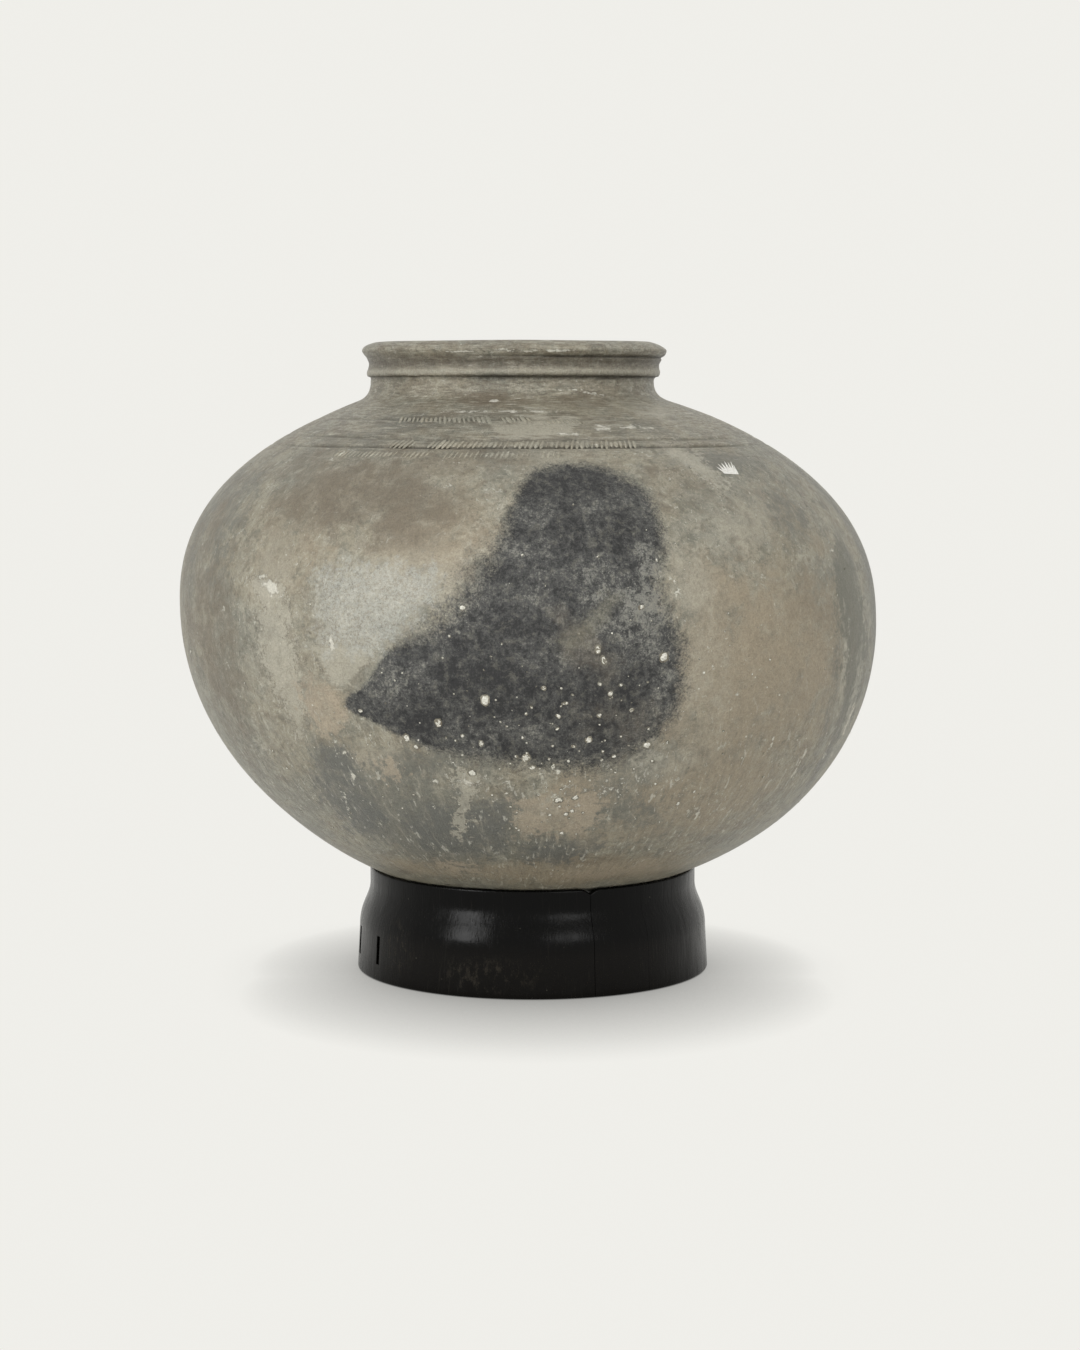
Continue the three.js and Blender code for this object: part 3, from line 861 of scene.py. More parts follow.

# Patches with a clear edge, by kind. Each outline is given as it is seen from the front, in
# millimetres right of the middle and above the floor. A run of slip dried on the left, a pale
# film dulls the shoulder, smoke left slate patches low down, and a burnished place on the left
# is painted pale grey as a painted sheen, over its lower roughness.
PATCHES = {
    "olive": (
        ((16, 212), (22, 218), (33, 227), (44, 239), (49, 236), (39, 222), (28, 211), (21, 206)),
    ),
    "moss": (
        ((174, 262), (183, 249), (190.5, 226), (195.5, 202), (192, 170), (177, 142), (177, 152),
         (180, 170), (177, 200), (172, 228)),
    ),
    "run": (
        ((-150, 241), (-131, 239), (-127, 210), (-124, 187), (-120, 173), (-125, 157), (-131, 170),
         (-142, 190), (-148, 204), (-146, 225)),
        ((-39, 141), (-27, 141), (-30, 121), (-35, 97), (-40, 102)),
        ((74, 318), (82, 317), (97, 307), (112, 293), (105, 291), (89, 305)),
    ),
    "buff": (
        ((-124, 190), (-103, 184), (-98, 171), (-102, 157), (-113, 160), (-120, 173)),
        ((-8, 124), (39, 129), (41, 111), (29, 101), (11, 105), (-5, 101)),
        ((-80, 144), (-72, 147), (-66, 140), (-70, 134), (-78, 136)),
        ((-52, 84), (-28, 81), (-26, 75), (-48, 77)),
        ((16, 78), (72, 80), (76, 74), (20, 71)),
    ),
    "slate": (
        ((-115, 150), (-99, 152), (-90, 132), (-81, 118), (-81, 100), (-93, 96), (-104, 109),
         (-117, 124)),
        ((-70, 118), (-47, 120), (-9, 125), (-9, 89), (-35, 87), (-63, 92)),
        ((-4, 104), (41, 100), (41, 92), (14, 81), (-3, 86)),
    ),
    "film": (
        ((-21, 326.5), (18, 331), (29, 328.5), (23, 320), (-15, 319)),
        ((-116, 208), (-82, 206), (-93, 192), (-102, 184), (-109, 196)),
    ),
    "burnish_and_sheen": (
        ((-114, 247), (-98, 251), (-50, 251), (-46, 240), (-64, 219), (-80, 204), (-98, 208),
         (-110, 204)),
    ),
}
PATCH_REACH = 0.03
CLOUD_REACH = 20
STAIN_WIDTH_TOP = 0.13


def outline_distance(x, z, outline):
    """How far outside a closed outline, negative inside it, as shares of its fading edge."""
    nearest = np.full(x.shape, 1e9)
    fade = np.ones(x.shape)
    inside = np.zeros(x.shape, bool)
    for (ax, az, af), (bx, bz, bf) in zip(outline, outline[1:] + outline[:1]):
        t = ((x - ax) * (bx - ax) + (z - az) * (bz - az)) / ((bx - ax) ** 2 + (bz - az) ** 2)
        t = np.clip(t, 0, 1)
        gap = np.hypot(x - ax - t * (bx - ax), z - az - t * (bz - az))
        fade = np.where(gap < nearest, af + t * (bf - af), fade)
        nearest = np.minimum(nearest, gap)
        crosses = (az > z) != (bz > z)
        with np.errstate(divide="ignore", invalid="ignore"):
            inside ^= crosses & (x < ax + (z - az) * (bx - ax) / (bz - az))
    return np.where(inside, -nearest, nearest) / fade


def rounded(outline, steps):
    """A smooth closed curve through every point of an outline."""
    curve = []
    count = len(outline)
    for i in range(count):
        before, start, end, after = (outline[(i + k) % count] for k in (-1, 0, 1, 2))
        for t in np.arange(steps) / steps:
            point = 2 * start + (end - before) * t
            point = point + (2 * before - 5 * start + 4 * end - after) * t ** 2
            point = point + (3 * start - before - 3 * end + after) * t ** 3
            curve.append(tuple(point / 2))
    return curve


def stain_mask(azimuths, heights, stains):
    """The strongest of a kind of stain at every point."""
    radii = np.array([body_radius(min(h, STAIN_WIDTH_TOP)) for h in heights.tolist()])
    mask = np.zeros(len(heights))
    for degrees, height, half_width, half_height, turned, strength in stains:
        off = (azimuths - math.radians(degrees) + math.pi) % (2 * math.pi) - math.pi
        across, up = off * radii, heights - height * MM
        turn = math.radians(turned)
        u = (across * math.cos(turn) + up * math.sin(turn)) / (half_width * MM)
        v = (up * math.cos(turn) - across * math.sin(turn)) / (half_height * MM)
        mask = np.maximum(mask, strength * np.clip(1.5 - np.hypot(u, v), 0, 1))
    return mask


pot, pot_points, (pot_azimuths, pot_heights, pot_runs, pot_painted_shade, pot_outer) = make_pot()
pot_x, pot_y, pot_z = pot_points.T
facing = (pot_y < 0) & (pot_outer > 0)


def belt(height, half_width, power=2):
    """A soft belt round the outside of the pot."""
    return np.exp(-(((pot_heights - height) / half_width) ** power)) * pot_outer


cloud = outline_distance(pot_x, pot_z, rounded(np.array(CLOUD_OUTLINE) * MM, 5))
cloud = np.where(facing, np.clip(cloud, -CLOUD_REACH, CLOUD_REACH), CLOUD_REACH)
add_attribute(pot.data, "cloud", cloud)
for kind, outlines in PATCHES.items():
    gap = np.full(len(pot_points), PATCH_REACH)
    for outline in outlines:
        edge = [(x * MM, z * MM, 1.0) for x, z in outline]
        gap = np.minimum(gap, outline_distance(pot_x, pot_z, edge))
    add_attribute(pot.data, kind, np.where(facing, gap, PATCH_REACH))
for kind, stains in STAINS.items():
    add_attribute(pot.data, kind, stain_mask(pot_azimuths, pot_heights, stains) * pot_outer)

# Painted shade darkens the undercut below the neck's ridge, the cut lines and the bands. The
# waist above the ridge, under the lip, is painted browner, partly its own tone and partly
# painted shade, and the top of the ridge is painted pale as a painted highlight. For each:
# height and half width.
neck_foot = shoulder_height(NECK_RADIUS)
UNDERCUT_PAINTED_SHADE = (neck_foot + RIDGE_HEIGHT - RIDGE_HALF_WIDTH - 0.0004, 0.0014)
WAIST_BROWN_AND_SHADE = (neck_foot + WAIST_HEIGHT + 0.0006, 0.0036)
RIDGE_PAINTED_HIGHLIGHT = (neck_foot + RIDGE_HEIGHT - 0.0006, 0.0016)
turning = np.sin(pot_azimuths * 3 + 1.0) * 0.5 + np.sin(pot_azimuths * 7 + 2.2) * 0.3
undercut_shade = 1.35 + 0.55 * turning + 0.5 * np.clip(np.sin(pot_azimuths), -0.5, 1)
pot_painted_shade += undercut_shade * belt(UNDERCUT_PAINTED_SHADE[0], UNDERCUT_PAINTED_SHADE[1] + 0.0006 * turning)
turned = np.degrees((pot_azimuths + np.pi) % (2 * np.pi) - np.pi)
for height, first, last, length, _ in BANDS:
    ends = np.clip((turned - first) / BAND_FADE, 0, 1) * np.clip((last - turned) / BAND_FADE, 0, 1)
    pot_painted_shade += BAND_PAINTED_SHADE * ends * belt(height, length / 2, 4)
add_attribute(pot.data, "groove", pot_painted_shade)
add_attribute(pot.data, "waist", belt(*WAIST_BROWN_AND_SHADE))
add_attribute(pot.data, "rubbed", belt(*RIDGE_PAINTED_HIGHLIGHT))
flow = (NOISE_RADIUS * np.sin(pot_azimuths), -NOISE_RADIUS * np.cos(pot_azimuths), pot_runs)
add_attribute(pot.data, "flow", np.stack(flow, axis=1), "FLOAT_VECTOR")

CLAY_GREY = colour(134, 132, 119)
CLAY_BEIGE = colour(149, 143, 125)
CLAY_GREEN = colour(110, 109, 97)
CLAY_PALE = colour(166, 161, 145)
CLAY_WARM = colour(154, 142, 121)
CLAY_BROWN = colour(111, 102, 87)
CLAY_CREAM = colour(177, 172, 156)
CLAY_BUFF = colour(169, 156, 136)
LIME_CRUST = colour(208, 205, 192)
PAINTED_SHEEN_GREY = colour(186, 187, 179)
SMOKE_GREY = colour(103, 103, 95)
SLATE_GREY = colour(97, 98, 94)
OLIVE_ASH = colour(118, 115, 100)
COAL_BLACK = colour(35, 35, 36)
CRACK_BLACK = colour(26, 26, 27)
CLOUD_GREY = colour(76, 76, 74)
ASH_GREY = colour(134, 133, 125)
SPECK_BROWN = colour(72, 65, 55)


def swing(given, reach):
    """A noise turned into a shade that swings evenly about nothing."""
    return (given - 0.5) * reach


def clay_group():
    """Bare fired clay: its mottled colour, its fine light and dark grain, and its relief."""
    takes = {"Place": "place"}
    gives = {"Color": "colour", "Shade": "value", "Height": "value"}
    tree, size, output = new_tree("fired clay body", "ShaderNodeTree", takes, gives)
    place = size["Place"]
    broad = grain(place, 0.050, 9, 0.68, 0.4)
    second = grain(stretched(place, (1, 1, 1.5)), 0.017, 8, 0.72, 0.3)
    skins = grain(place, 0.010, 8, 0.70, 0.9)
    middle = grain(place, 0.0060, 6, 0.72)
    marks = grain(stretched(place, (1, 1, 0.45), (0.5, 0.4, 0.0)), 0.0026, 4, 0.7, 0.4)
    crumbs = grain(place, 0.0036, 5, 0.66, 1.0)
    fine = grain(place, 0.0020, 4, 0.75)
    finest = grain(place, 0.0009, 2, 0.8)
    scuffs = ramp(crumbs, 0.37, 0.32) * ramp(second, 0.6, 0.45)
    flecks = ramp(crumbs, 0.60, 0.65) * ramp(skins, 0.45, 0.56)
    pits = speckle(place, 0.0042, 0.10, 0.5)
    tone = coats(
        CLAY_GREY,
        (ramp(broad, 0.42, 0.58), CLAY_BEIGE),
        (ramp(second, 0.50, 0.62, 0, 0.75), CLAY_GREEN),
        (ramp(second, 0.48, 0.36, 0, 0.6), CLAY_BROWN),
        (ramp(skins, 0.54, 0.565, 0, 0.42), CLAY_PALE),
        (ramp(skins, 0.455, 0.43, 0, 0.36), CLAY_BROWN),
        (ramp(middle, 0.55, 0.64, 0, 0.45), CLAY_PALE),
        (ramp(marks, 0.58, 0.66, 0, 0.45), SPECK_BROWN),
        (ramp(marks, 0.42, 0.34, 0, 0.42), CLAY_CREAM),
        (scuffs * 0.5, SPECK_BROWN),
        (flecks * 0.7, LIME_CRUST),
        (pits * 0.5, SPECK_BROWN),
    )
    shade = swing(fine, 0.62) + 1.0 + swing(finest, 0.80) + swing(middle, 0.42)
    height = fine * 0.9 + finest * 0.6 + middle * 1.2 - pits * 0.3 + flecks * 0.3
    feed(output, {"Color": tone, "Shade": shade, "Height": height})
    return tree


clay_body = clay_group()


def bare_clay(place):
    """The colour, the shade and the relief of bare fired clay."""
    body = node("ShaderNodeGroup", {"Place": place}, node_tree=clay_body)
    return [Value(socket) for socket in body.outputs]


def shaded(tone, shade):
    """A colour made lighter or darker."""
    grey = result("ShaderNodeCombineColor", {0: shade, 1: shade, 2: shade})
    return tint(1.0, tone, grey, "MULTIPLY")


def threads(given, thin):
    """Fine lines where a noise passes its middle."""
    return ramp(abs(given - 0.5), thin, 0.0)


def fired_clay():
    material, surface, place = new_material("fired clay")
    tone, shade, relief = bare_clay(place)

    def attribute(name, output="Fac"):
        return result("ShaderNodeAttribute", {}, output, tree=place.tree, attribute_name=name)

    flow = attribute("flow", "Vector")
    second = grain(place, 0.015, 7, 0.72, 0.3)
    middle = grain(place, 0.0060, 6, 0.74)
    fine = grain(place, 0.0019, 4, 0.75)
    finest = grain(place, 0.0010, 2, 0.8)
    runs = grain(stretched(flow, (1, 1, 0.22)), 0.0036, 6, 0.72, 0.6)
    turns = grain(stretched(flow, (0.10, 0.10, 1)), 0.0021, 5, 0.72, 0.3)
    combed = grain(stretched(flow, (0.08, 0.08, 1)), 0.0010, 3, 0.7, 0.2)
    dabs = grain(stretched(flow, (1, 1, 0.4)), 0.0032, 3, 0.6, 0.4)
    leather = grain(place, 0.0046, 7, 0.74, 0.3)
    high_up = parts(place)[2]
    by_neck = ramp(high_up, 0.296, 0.328)
    low_down = ramp(high_up, 0.210, 0.120)
    torn = runs * 0.20 + middle * 0.80
    along = turns * 0.45 + middle * 0.55
    flaky = result("ShaderNodeMix", {0: by_neck, 2: torn, 3: along}, data_type="FLOAT")
    gappy = ramp(second, 0.38, 0.54, 0.55, 1.0)

    def stain(kind, broken_by, spread, low, high, most=1.0):
        """A kind of stain whose edge is broken up by a noise."""
        mask = attribute(kind)
        return ramp(mask + swing(broken_by, spread), low, high) * most * ramp(mask, 0.0, 0.12)

    def laid(kind, wander_by, wander, soft, most=1.0):
        """A kind of patch whose edge wanders a few millimetres."""
        return ramp(attribute(kind) + swing(wander_by, wander), soft, -soft, 0, most)

    # The burnished place has a lower roughness, and a pale grey painted over it is a painted sheen.
    burnish_and_sheen = laid("burnish_and_sheen", middle, 0.050, 0.0060)
    run_edge = ramp(abs(attribute("run") + swing(flaky, 0.05)), 0.0016, 0.0004)
    tone = coats(
        tone,
        (stain("warm", second, 2.4, 0.1, 1.0, 0.9), CLAY_WARM),
        (stain("pale", second, 2.6, 0.15, 1.0, 0.7), CLAY_PALE),
        (stain("brown", second, 2.6, 0.1, 1.1, 0.85), CLAY_BROWN),
        (stain("smoke", flaky, 3.6, 0.1, 0.9, 0.75), SMOKE_GREY),
        (laid("slate", middle, 0.055, 0.0040, 0.78) * gappy, SLATE_GREY),
        (laid("moss", middle, 0.030, 0.0024, 0.9), CLAY_GREEN),
        (ramp(runs, 0.51, 0.60, 0, 0.32) * low_down, SMOKE_GREY),
        (ramp(runs, 0.46, 0.38, 0, 0.34) * low_down, CLAY_PALE),
        (ramp(dabs, 0.62, 0.67, 0, 0.5) * low_down, LIME_CRUST),
        (ramp(turns, 0.51, 0.57, 0, 0.55) * by_neck, CLAY_BROWN),
        (ramp(turns, 0.47, 0.38, 0, 0.70) * by_neck, CLAY_PALE),
        (ramp(combed, 0.54, 0.62, 0, 0.40) * by_neck, SPECK_BROWN),
        (ramp(turns, 0.37, 0.33, 0, 0.6) * by_neck, LIME_CRUST),
        # The waist is painted browner: partly its own tone, partly painted shade under the lip.
        (attribute("waist") * ramp(middle, 0.35, 0.6, 0.5, 1) * 0.75, SPECK_BROWN),
        # The top of the ridge is painted pale: a painted highlight.
        (attribute("rubbed") * ramp(turns, 0.30, 0.55, 0.4, 1) * 0.6, CLAY_CREAM),
        (laid("film", turns, 0.014, 0.0012, 0.85), CLAY_PALE),
        (laid("run", flaky, 0.050, 0.0014, 0.70) * gappy, CLAY_CREAM),
        (run_edge * ramp(fine, 0.46, 0.54, 0, 0.55), SPECK_BROWN),
        (laid("buff", flaky, 0.055, 0.0020, 0.72) * gappy, CLAY_BUFF),
        (burnish_and_sheen * ramp(fine, 0.38, 0.62, 0.4, 1) * 0.62, PAINTED_SHEEN_GREY),
        (stain("cream", flaky, 3.6, 0.2, 1.2, 0.75), CLAY_CREAM),
        (threads(second, 0.012) * ramp(middle, 0.5, 0.7, 0, 0.35), SPECK_BROWN),
        (threads(middle, 0.012) * burnish_and_sheen * 0.65, CLAY_BROWN),
    )

    edge = attribute("cloud") + swing(middle, 1.8) + swing(fine, 1.3) + swing(finest, 1.5)
    mottle = fine * 0.34 + finest * 0.30 + leather * 0.36
    # Ash lightens the cloud; on its right middle this is partly a painted sheen.
    mottle = mottle - attribute("coal") * 0.060 + attribute("ash_and_sheen") * 0.095 + swing(second, 0.42)
    olive = laid("olive", middle, 0.020, 0.0050) * ramp(fine, 0.35, 0.60, 0.4, 1)
    sooted = coats(
        COAL_BLACK,
        (ramp(mottle, 0.385, 0.56), CLOUD_GREY),
        (ramp(mottle, 0.53, 0.67, 0, 0.95), ASH_GREY),
        (ramp(leather, 0.53, 0.60, 0, 0.22), OLIVE_ASH),
        (ramp(leather, 0.46, 0.42, 0, 0.6), CRACK_BLACK),
        (olive * 0.8, OLIVE_ASH),
        (stain("brown", second, 2.0, 0.2, 0.9, 0.4), CLAY_BROWN),
        (threads(middle, 0.014) * ramp(second, 0.42, 0.6, 0, 0.35), ASH_GREY),
        (threads(leather, 0.010) * 0.45, CRACK_BLACK),
    )
    crust = stain("crust", flaky, 5.0, 0.70, 0.95, 0.9)
    tone = coats(tone, (ramp(edge, 0.7, -0.7), sooted), (crust, LIME_CRUST))
    # Painted shade: the cut lines, the groove under the lip, the undercut and the bands are
    # darkened by the groove attribute.
    tone = shaded(tone, larger(shade - attribute("groove") * 0.42, 0.2))
    dots = speckle(place, 0.0065, 0.085, 0.4) * ramp(high_up, 0.26, 0.17, 0.2, 0.85)
    relief = relief + turns * by_neck * 0.9 + runs * low_down * 0.5
    feed(surface, {
        "Base Color": tint(dots, tone, LIME_CRUST),
        "Roughness": swing(fine, 0.30) + 0.40 - burnish_and_sheen * 0.12 + crust * 0.3,
        "Specular IOR Level": 0.46,
        "Normal": bump(relief + crust * 0.3 + fine * burnish_and_sheen * 0.35, 0.75, 0.0009),
    })
    return material


pot.data.materials.append(fired_clay())
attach(pot, "pot")
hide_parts("clay_pot")

# Rouletted bands: a toothed wheel was rolled round the shoulder below, between and above the
# cut lines, and left rows of short slanting ridges. They have worn away in many places.
STROKE_PITCH = 0.0028
STROKE_LENGTH = BANDS[0][3]
STROKE_PROUD = 0.00034
# Half of each lump is sunk in the wall, so it is twice as thick as it stands proud.
RIDGE_SIZES = {
    "Width": 0.0014,
    "Height": STROKE_LENGTH,
    "Proud": STROKE_PROUD * 2,
    "Unevenness": 0.35,
    "Worn away": 0.41,
    "Patch size": 0.011,
    "Ragged": 0.0005,
    "Seed": 3.0,
}
RAGGED_SIZE = 1 / 520


def lump_tree(name, finish):
    """Sets a small rounded lump on each point of the wall, turned the way the wall faces."""
    takes = {"Points": "shape"} | dict.fromkeys(RIDGE_SIZES, 0.0) | {"Patch size": 0.01}
    tree, size, output = new_tree(name, "GeometryNodeTree", takes, {"Lumps": "shape"})

    def of_wall(label, kind="FLOAT_VECTOR"):
        named = {"Name": label}
        return result("GeometryNodeInputNamedAttribute", named, tree=tree, data_type=kind)

    def aligned(inputs, **settings):
        return result("FunctionNodeAlignRotationToVector", inputs | {"Factor": 1.0}, **settings)

    def scaled(given, scale):
        return result("ShaderNodeVectorMath", {0: given, "Scale": scale}, operation="SCALE")

    turn = aligned({"Vector": of_wall("out")}, axis="Y")
    turn = aligned({"Rotation": turn, "Vector": of_wall("up")}, axis="Z", pivot_axis="Y")
    sides = []
    for number, label in enumerate(("Width", "Proud", "Height")):
        uneven = size["Unevenness"]
        draw = {2: 1.0 - uneven, 3: uneven + 1.0, "Seed": size["Seed"] + float(number)}
        draw = result("FunctionNodeRandomValue", draw, 1, data_type="FLOAT")
        sides.append(draw * size[label])
    here = result("GeometryNodeInputPosition", {}, tree=tree)
    wear = grain(here, size["Patch size"], 3.0, 0.5)
    sphere = {"Segments": 9, "Rings": 6, "Radius": 0.5}
    lumps = result("GeometryNodeInstanceOnPoints", {
        "Points": size["Points"],
        "Selection": result("FunctionNodeCompare", {0: wear, 1: size["Worn away"]}),
        "Instance": result("GeometryNodeMeshUVSphere", sphere, tree=tree),
        "Rotation": turn,
        "Scale": scaled(vector(*sides), of_wall("size", "FLOAT")),
    })
    lumps = result("GeometryNodeRealizeInstances", {0: lumps})
    rough = grain(here, RAGGED_SIZE, 2.0, 0.5)
    away = result("GeometryNodeInputNormal", {}, tree=tree)
    push = scaled(away, swing(rough, size["Ragged"]))
    lumps = result("GeometryNodeSetPosition", {"Geometry": lumps, "Offset": push})
    lumps = result("GeometryNodeSetMaterial", {"Geometry": lumps, "Material": finish})
    feed(output, {"Lumps": lumps})
    return tree


def wall_points(name, spots):
    """A mesh of points on the pot's wall, each with the wall's directions and a size."""
    points, outs, ups = [], [], []
    for azimuth, height, _, slant in spots:
        right, up = rightward(azimuth), upward(azimuth, height)
        points.append(on_pot(azimuth, height))
        outs.append(right.cross(up).normalized())
        ups.append(up * math.cos(slant) + right * math.sin(slant))
    mesh = bpy.data.meshes.new(name)
    mesh.from_pydata(points, [], [])
    add_attribute(mesh, "out", outs, "FLOAT_VECTOR")
    add_attribute(mesh, "up", ups, "FLOAT_VECTOR")
    add_attribute(mesh, "size", [size for _, _, size, _ in spots])
    return mesh


def tinted_clay(name, share, coat, rough, strength):
    """Fired clay with some of another colour in it."""
    material, surface, place = new_material(name)
    tone, shade, relief = bare_clay(place)
    feed(surface, {
        "Base Color": shaded(tint(share, tone, coat), shade),
        "Roughness": ramp(shade, 0.8, 1.2, *rough),
        "Normal": bump(relief, strength, 0.0004),
    })
    return material


strokes = []
for height, first, last, length, slant in BANDS:
    step = STROKE_PITCH / body_radius(height)
    count = int(math.radians(last - first) / step)
    for number in range(count):
        azimuth = math.radians(first) + number * step
        strokes.append((azimuth, height, length / STROKE_LENGTH, math.radians(slant)))
rubbed = tinted_clay("rubbed clay", 0.16, CLAY_CREAM, (0.55, 0.45), 0.4)
tree = lump_tree("rouletted ridges", rubbed)
ridges = grow("rouletted_ridges", wall_points("ridge_points", strokes), tree, RIDGE_SIZES)
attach(ridges, "pot")

# Lime spalls: grains of lime in the clay took up damp after the firing and pushed off little
# chips, so that white lumps show, most of them low on the front. Each sits in a broken pit, which
# is not cut into the wall: a flat collar of darker clay round each lump is painted shade for it.
LIME = colour(232, 230, 219)
LIME_GREY = colour(186, 183, 170)
PIT_SHADE_BROWN = colour(66, 63, 56)
SPALL_LOWEST = -0.135
SPALL_HIGHEST = 0.09
SPALL_SEED = 11
SPALL_SIZES = {
    "Width": 0.84,
    "Height": 0.96,
    "Proud": 0.22,
    "Unevenness": 0.30,
    "Worn away": 0.0,
    "Ragged": 0.0030,
    "Seed": float(SPALL_SEED),
}
PIT_SHADE_SIZES = SPALL_SIZES | {"Width": 1.12, "Height": 1.232, "Proud": 0.088}
# The larger ones: degrees right of the front, millimetres above the widest circle, and across.
LARGE_SPALLS = (
    (-6.6, -31, 4.8), (-1, -63, 5.6), (20.5, -9, 4.5), (-14.2, -44, 3.4), (8.9, -53, 3.6),
    (18.4, -57, 4.2), (17.4, 18, 3), (12.1, -28, 3.6), (-9.3, 18, 3), (-20, -53, 3.4),
    (10.4, -4, 3), (-7.9, -55, 2.8), (-18.7, -58, 3), (15.5, -37, 2.6), (-10.1, -72, 4.2),
    (3.3, -68, 3.2),
)
# The small ones by group: how many, middle and spread in degrees, in height, and their size.
SPALL_GROUPS = (
    (70, 6, 13, -52, 22, 1.1), (60, 3, 9, -95, 18, 1.3), (46, 8, 22, -20, 40, 0.9),
    (46, 40, 26, -30, 50, 0.8), (36, -30, 20, -70, 40, 0.8), (40, 160, 90, -40, 60, 0.9),
)


def crumbly_lime(name, crumb_size, shadow, light, strength):
    material, surface, place = new_material(name)
    crumb = grain(place, crumb_size, 3, 0.6)
    feed(surface, {
        "Base Color": tint(ramp(crumb, 0.35, 0.65), shadow, light),
        "Roughness": ramp(crumb, 0.3, 0.7, 0.75, 0.95),
        "Normal": bump(crumb, strength, 0.0003),
    })
    return material


draws = np.random.default_rng(SPALL_SEED)
spalls = [(math.radians(az), height * MM, size * MM, 0.0) for az, height, size in LARGE_SPALLS]
for count, middle, spread, height, rise, size in SPALL_GROUPS:
    azimuths = np.radians(draws.normal(middle, spread, count))
    heights = np.clip(draws.normal(height * MM, rise * MM, count), SPALL_LOWEST, SPALL_HIGHEST)
    sizes = size * MM * (0.5 + draws.exponential(0.5, count))
    slants = draws.uniform(-1.5, 1.5, count)
    spalls += list(zip(azimuths.tolist(), heights.tolist(), sizes.tolist(), slants.tolist()))
lime = crumbly_lime("slaked lime", 0.0009, LIME_GREY, LIME, 0.5)
# Painted shade: the pits are flat collars of darker clay round the lumps, not hollows.
pit_shade = tinted_clay("painted pit shade", 0.35, PIT_SHADE_BROWN, (0.8, 0.7), 0.5)
for name, finish, sizes in (("lime_spalls", lime, SPALL_SIZES), ("spall_pit_shade", pit_shade, PIT_SHADE_SIZES)):
    lumps = grow(name, wall_points(name + "_points", spalls), lump_tree(name, finish), sizes)
    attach(lumps, "pot")

# Lost flake: a skin of lime crust high on the right came off in one pull and left a white
# scar with a torn, comb-like upper edge. Its base and its tips are given as they are seen
# from the front, in millimetres right of and above its middle.
SCAR_PLACE = (0.1113, 0.0892)
SCAR_BASE = ((-2.2, -2.8), (6, -3.4))
SCAR_TIPS = (
    (-6.8, 1), (-5.4, 2.3), (-3.6, 3), (-1.6, 3.6), (0.4, 3.1), (2.2, 3.5), (3.7, 1.6),
)
SCAR_NOTCH = 0.42
SCAR_PROUD = 0.00030
# Round a rib of the scar: how far from its foot to its tip, and how far it stands out.
SCAR_PROFILE = ((0.0, 0.0), (0.2, 1.0), (0.6, 1.0), (1.0, 0.6), (1.0, -1.0), (0.0, -1.0))
FRESH_LIME = colour(246, 244, 238)
FRESH_SHADE = colour(224, 221, 212)


def torn_scar():
    """A thin crust with pointed tips between deep notches, let into the wall."""
    start, end = np.array(SCAR_BASE) * MM
    tips = np.array(SCAR_TIPS) * MM
    ribs = [(start, start + (tips[0] - start) * 0.3)]
    for number, tip in enumerate(tips):
        foot, after = (start + (end - start) * (number + k) / len(tips) for k in (0.5, 1))
        nearby = tips[min(number + 1, len(tips) - 1)]
        ribs += [(foot, tip), (after, after + ((tip + nearby) / 2 - after) * SCAR_NOTCH)]
    points = []
    for foot, edge in ribs:
        for share, proud in SCAR_PROFILE:
            across, rise = foot + (edge - foot) * share
            height = SCAR_PLACE[1] + rise
            sine = (SCAR_PLACE[0] + across - lean_at(height)) / body_radius(height)
            points.append(on_pot(math.asin(sine), height, SCAR_PROUD * proud))
    count = len(SCAR_PROFILE)
    last = count * (len(ribs) - 1)
    faces = [tuple(range(count)), tuple(range(last + count - 1, last - 1, -1))]
    for a in range(0, last, count):
        for row in range(count):
            b = (row + 1) % count
            faces.append((a + row, a + count + row, a + count + b, a + b))
    mesh = bpy.data.meshes.new("lost_flake")
    mesh.from_pydata(points, [], faces)
    return mesh


scar = show("lost_flake", torn_scar())
scar.data.materials.append(crumbly_lime("fresh lime", 0.0012, FRESH_SHADE, FRESH_LIME, 0.0))
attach(scar, "pot")

# Studio: a pale paper floor that runs off into a pale backdrop. A soft box stands on the
# left, a smaller one in front on the right, a wide weak one on the right and one overhead,
# and pale walls send even light from the front. The two weak ones are too wide to glint.
PAPER = colour(239, 238, 233)
# Each lamp's degrees right of the front and up, distance, width, height and radiance.
LAMPS = {
    "left_box": (-45, 17, 1.7, 0.52, 0.78, 7.9),
    "front_box": (25, 16, 1.7, 0.60, 0.40, 3.8),
    "right_box": (54, 46, 1.7, 1.20, 1.20, 1.4),
    "top_box": (-30, 76, 1.5, 1.2, 1.2, 0.45),
}
SEEN_IN_GLOSS = ("left_box", "front_box")
LAMP_AIM = Vector((0, 0, 0.18))
ROOM_DARK = 0.13
ROOM_LIGHT = 0.85
ROOM_FRONT = (-0.10, -0.94, 0.33)

world = bpy.data.worlds.new("studio")
bpy.context.scene.world = world
world.use_nodes = True
world.node_tree.nodes.clear()


def seen_or_lit(tree, seen, lit):
    """One shader for the eye, a reflection or a clear thing, one for light on a surface."""
    directly = 0.0
    rays = node("ShaderNodeLightPath", {}, tree=tree).outputs
    for kind in ("Camera", "Glossy", "Transmission"):
        directly = larger(Value(rays[f"Is {kind} Ray"]), directly)
    return result("ShaderNodeMixShader", {0: directly, 1: lit, 2: seen})


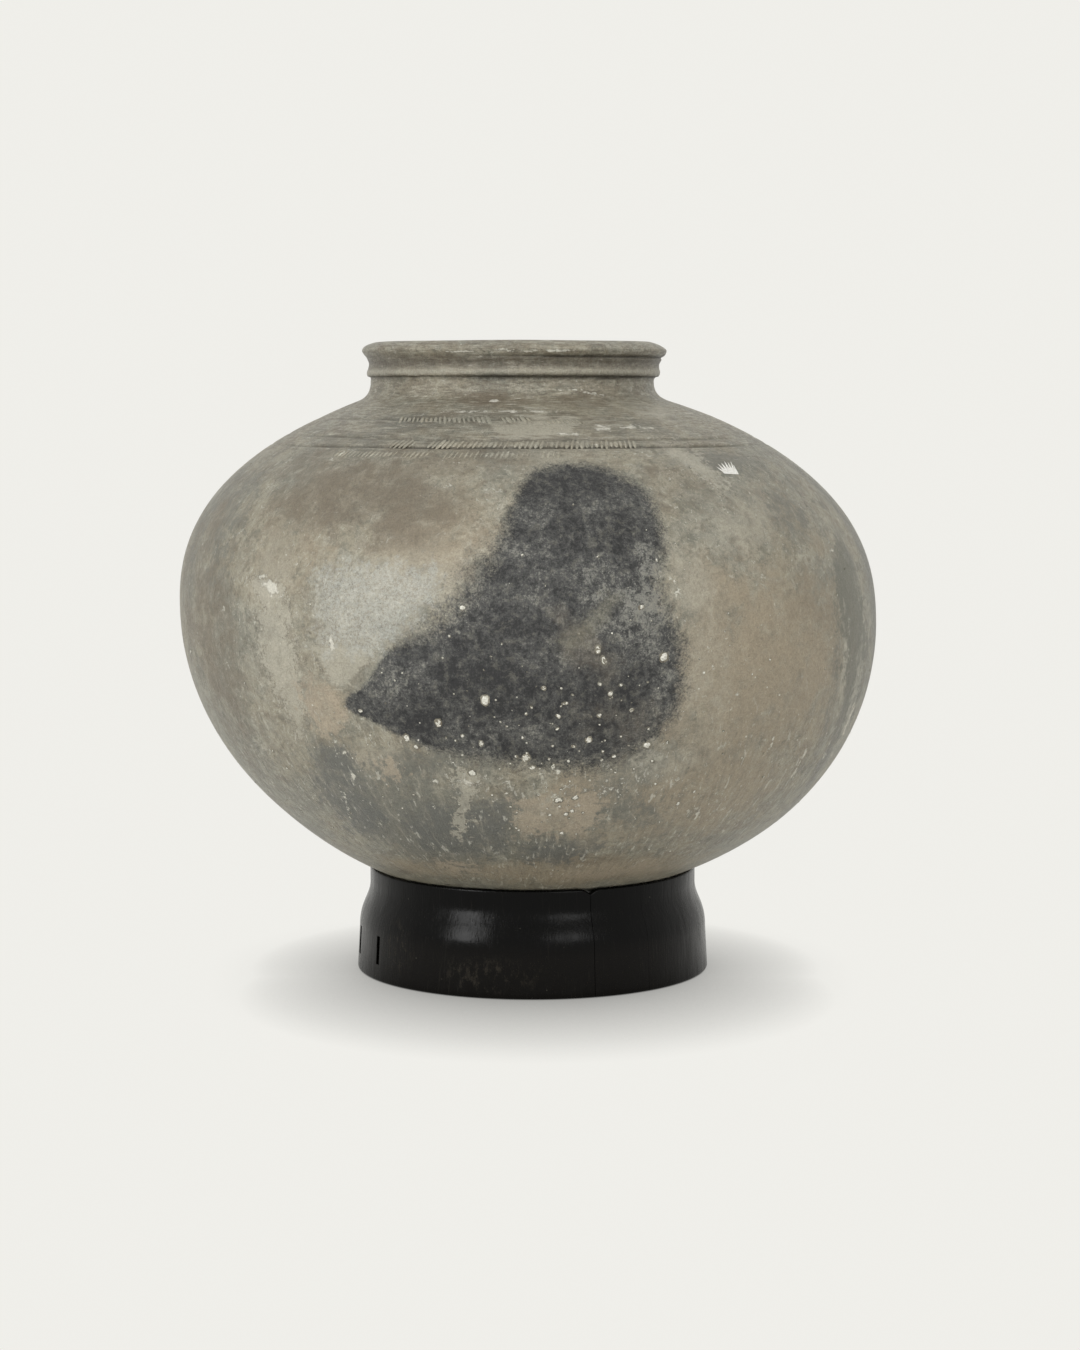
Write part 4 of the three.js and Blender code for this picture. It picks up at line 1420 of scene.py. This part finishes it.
ray = result("ShaderNodeTexCoord", {}, "Generated", tree=world.node_tree)
frontal = result("ShaderNodeVectorMath", {0: ray, 1: ROOM_FRONT}, "Value", operation="DOT_PRODUCT")
room = ramp(frontal, 0.0, 1.0, ROOM_DARK, ROOM_LIGHT)
room = result("ShaderNodeBackground", {"Color": (1, 1, 1, 1), "Strength": room})
paper = result("ShaderNodeBackground", {"Color": PAPER, "Strength": 1.0}, tree=world.node_tree)
node("ShaderNodeOutputWorld", {"Surface": seen_or_lit(world.node_tree, paper, room)})

for name, (azimuth, rise, distance, width, height, radiance) in LAMPS.items():
    box = bpy.data.lights.new(name, "AREA")
    box.shape = "RECTANGLE"
    box.size = width
    box.size_y = height
    box.energy = math.pi * radiance * width * height
    lamp = bpy.data.objects.new(name, box)
    turn, up = math.radians(azimuth), math.radians(rise)
    away = Vector((math.sin(turn) * math.cos(up), -math.cos(turn) * math.cos(up), math.sin(up)))
    lamp.location = LAMP_AIM + away * distance
    lamp.rotation_euler = away.to_track_quat("Z", "Y").to_euler()
    lamp.visible_camera = False
    lamp.visible_glossy = name in SEEN_IN_GLOSS
    bpy.context.scene.collection.objects.link(lamp)

FLOOR_REACH = 8.0
FLOOR_DROP = 0.0003
# How far the pot shelters the floor, at two distances in front of its middle.
SHADOW_REACH = {-0.04: 0.09, -0.28: 0.15}
SHADOW_LEAN = 0.2
SHADOW_STRENGTH = 0.85
SHADOW_BLACK = (0.0, 0.0, 0.0, 1)

corners = ((-FLOOR_REACH, -FLOOR_REACH), (FLOOR_REACH, -FLOOR_REACH),
           (FLOOR_REACH, FLOOR_REACH), (-FLOOR_REACH, FLOOR_REACH))
sheet = bpy.data.meshes.new("paper_floor")
sheet.from_pydata([(x, y, -FLOOR_DROP) for x, y in corners], [], [(0, 1, 2, 3)])
floor = show("paper_floor", sheet)
material, surface, place = new_material("pale paper")
feed(surface, {"Base Color": PAPER, "Roughness": 0.9})
# The floor's shadow is painted: the eye and reflections see the floor glow in its paper colour,
# darkened by ambient occlusion where the pot shelters it.
towards_pot = dict(enumerate(Vector((0.0, SHADOW_LEAN, 1.0)).normalized()))
towards_pot = result("ShaderNodeCombineXYZ", towards_pot, tree=place.tree)
reach = dict(enumerate((parts(place)[1], *SHADOW_REACH, *SHADOW_REACH.values())))
inputs = {"Distance": result("ShaderNodeMapRange", reach), "Normal": towards_pot}
shelter = result("ShaderNodeAmbientOcclusion", inputs, "AO", samples=16)
flat = tint(shelter * SHADOW_STRENGTH + (1 - SHADOW_STRENGTH), SHADOW_BLACK, PAPER)
paper = result("ShaderNodeEmission", {"Color": flat, "Strength": 1.0})
both = seen_or_lit(place.tree, paper, Value(surface.outputs[0]))
feed(place.tree.nodes["Material Output"], {"Surface": both})
floor.data.materials.append(material)
floor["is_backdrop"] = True

bpy.context.scene.view_settings.view_transform = "Standard"

visual_low, visual_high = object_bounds()
sizes = {
    "cad": [list(cad_low), list(cad_high)],
    "visual": [list(visual_low), list(visual_high)],
}
